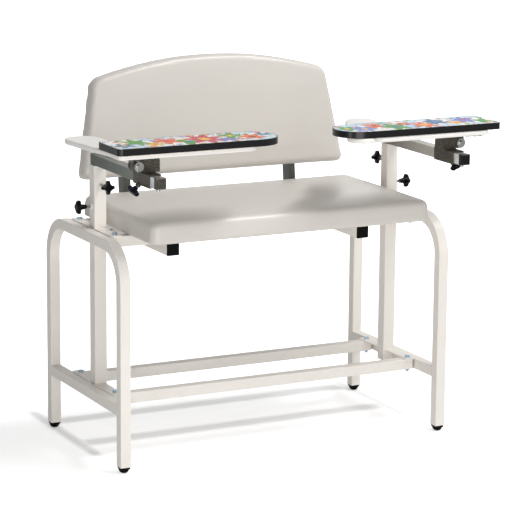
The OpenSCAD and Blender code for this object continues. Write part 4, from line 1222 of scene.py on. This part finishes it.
@dataclass
class Studio:
    """The pale floor, the soft light and the camera at the photograph's angle."""

    azimuth: float = -26.8
    elevation: float = 11.9
    roll: float = 0.5
    distance: float = 7.2287
    target: Vector = chair(29.4, 0.0, 531.4)
    lens: float = 170.0
    sensor: float = 36.0
    sight: float = 200.0
    floor_reach: float = 40.0
    floor_tone: float = 0.7
    # The sky's light, and the shares of it that come from the left and from the right
    ambient: float = 0.36
    left_share: float = 0.25
    right_share: float = 1.15
    # How much the floor glows to the camera below the chair and behind it
    near_lift: float = 0.36
    rear_lift: float = 0.8
    # The floor light's strength, spread and lean
    crisp: float = 1.8
    blur: float = 5.0
    slant: float = 46.0
    lamps: tuple[Lamp, ...] = (
        Lamp("key_lamp", (-1.4, -4.2, 0.95), 2.4, 1.8, 64.0),
        Lamp("top_lamp", (1.7, -1.5, 4.4), 2.8, 0.5, 128.0),
        Lamp("side_lamp", (-2.6, -1.6, 0.6), 0.6, 1.2, 8.0),
    )

    def build(self) -> None:
        """Set the camera, the world, the floor and the lamps."""
        bpy.context.scene.view_settings.view_transform = "Standard"
        self.camera()
        self.world()
        self.floor()
        for lamp in self.lamps:
            self.hang(lamp)

    def camera(self) -> None:
        """Place the camera round its target."""
        turn = math.radians(self.azimuth)
        lift = math.radians(self.elevation)
        roll = math.radians(self.roll)
        back = Vector((math.sin(turn) * math.cos(lift), -math.cos(turn) * math.cos(lift), math.sin(lift)))
        right = Vector((math.cos(turn), math.sin(turn), 0.0))
        up = back.cross(right)
        across = right * math.cos(roll) + up * math.sin(roll)
        over = up * math.cos(roll) - right * math.sin(roll)
        data = bpy.data.cameras.new("camera")
        data.sensor_width = self.sensor
        data.lens = self.lens
        data.clip_end = self.sight
        seen = new_object("camera", data)
        place = Matrix((across, over, back)).transposed().to_4x4()
        place.translation = self.target + back * self.distance
        seen.matrix_world = place
        bpy.context.scene.camera = seen

    def world(self) -> None:
        """Light the scene softly, less from the left, and show white to the camera and in reflections."""
        world = bpy.data.worlds.new("studio")
        bpy.context.scene.world = world
        graph = blank_graph(world)
        rays = graph.add("ShaderNodeLightPath").outputs
        seen = graph.math("MAXIMUM", rays["Is Camera Ray"], rays["Is Transmission Ray"])
        way = graph.split(graph.add("ShaderNodeTexCoord").outputs["Generated"])
        glossy = graph.times(rays["Is Glossy Ray"], graph.ramp(way["Z"], 0.0, 0.5, 0.85, 1.0))
        soft = graph.ramp(way["X"], -0.8, 0.6, self.ambient * self.left_share,
                          self.ambient * self.right_share)
        strength = graph.math("MAXIMUM", graph.math("MAXIMUM", seen, glossy), soft)
        sky = graph.add("ShaderNodeBackground", {"Color": (1.0, 1.0, 1.0, 1.0), "Strength": strength})
        end = graph.add("ShaderNodeOutputWorld")
        graph.feed(end.inputs["Surface"], sky.outputs[0])

    def floor(self) -> None:
        """Lay a white floor that keeps the chair's shadow."""
        mesh = bmesh.new()
        bmesh.ops.create_grid(mesh, x_segments=1, y_segments=1, size=self.floor_reach)
        data = bpy.data.meshes.new("floor")
        mesh.to_mesh(data)
        mesh.free()
        floor = new_object("floor", data)
        material = bpy.data.materials.new("white_floor")
        graph = blank_graph(material)
        rays = graph.add("ShaderNodeLightPath").outputs
        # It glows least below the chair, where the shadow falls, more behind it, and fully far from it
        place = graph.add("ShaderNodeTexCoord").outputs["Object"]
        depth = graph.split(place)["Y"]
        far = graph.vector("LENGTH", place)["Value"]
        behind = graph.ramp(depth, 0.3, 0.75, self.near_lift, self.rear_lift)
        lifted = graph.math("MAXIMUM", behind, graph.ramp(far, 0.62, 1.1))
        strength = graph.times(rays["Is Camera Ray"], lifted)
        lift = graph.add("ShaderNodeEmission", {"Color": (1.0, 1.0, 1.0, 1.0), "Strength": strength})
        matt = graph.add("ShaderNodeBsdfDiffuse", {"Color": (self.floor_tone,) * 3 + (1.0,)})
        both = graph.add("ShaderNodeAddShader", {0: lift.outputs[0], 1: matt.outputs[0]})
        end = graph.add("ShaderNodeOutputMaterial")
        graph.feed(end.inputs["Surface"], both.outputs[0])
        data.materials.append(material)
        self.crisp_shadow(floor)

    def crisp_shadow(self, floor: Piece) -> None:
        """Draw the low rails' narrow shadows on the floor by a light from the front.

        Args:
            floor: What the light falls on.
        """
        data = bpy.data.lights.new("floor_light", "SUN")
        data.energy = self.crisp
        data.angle = math.radians(self.blur)
        lamp = new_object("floor_light", data)
        lamp.rotation_euler = (math.radians(self.slant), 0.0, 0.0)
        lit = bpy.data.collections.new("lit_by_floor_light")
        lit.objects.link(floor)
        lamp.light_linking.receiver_collection = lit
        rails = bpy.data.collections.new("shadow_casters")
        for node in ("front_stretcher", "rear_stretcher", "left_crossbar", "right_crossbar"):
            rails.objects.link(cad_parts[node])
        lamp.light_linking.blocker_collection = rails

    def hang(self, lamp: Lamp) -> None:
        """Hang a lamp and turn it to the chair."""
        data = bpy.data.lights.new(lamp.name, "AREA")
        data.shape = "RECTANGLE"
        data.size = lamp.width
        data.size_y = lamp.height
        data.energy = lamp.power
        item = new_object(lamp.name, data)
        item.location = lamp.place
        item.rotation_mode = "QUATERNION"
        item.rotation_quaternion = (self.target - item.location).to_track_quat("-Z", "Y")


def main() -> None:
    """Build the studio and the chair, piece by piece."""
    logging.basicConfig(level=logging.INFO, format="%(name)s: %(message)s")
    # Each bar's rear and front tones are painted shade and painted reflection, darker on the left arm for
    # the shade under its platform
    left_arm = Arm(Side.LEFT, tint(94, 99, 92), tint(128, 133, 126), BRONZE, LEFT_FLOWERS)
    right_arm = Arm(Side.RIGHT, tint(128, 126, 118), tint(196, 194, 188), CAP, RIGHT_FLOWERS)
    for part in (Studio(), Frame(), Seat(), Backrest(), left_arm, right_arm):
        LOG.info("building the %s", type(part).__name__)
        part.build()


if __name__ == "__main__":
    main()
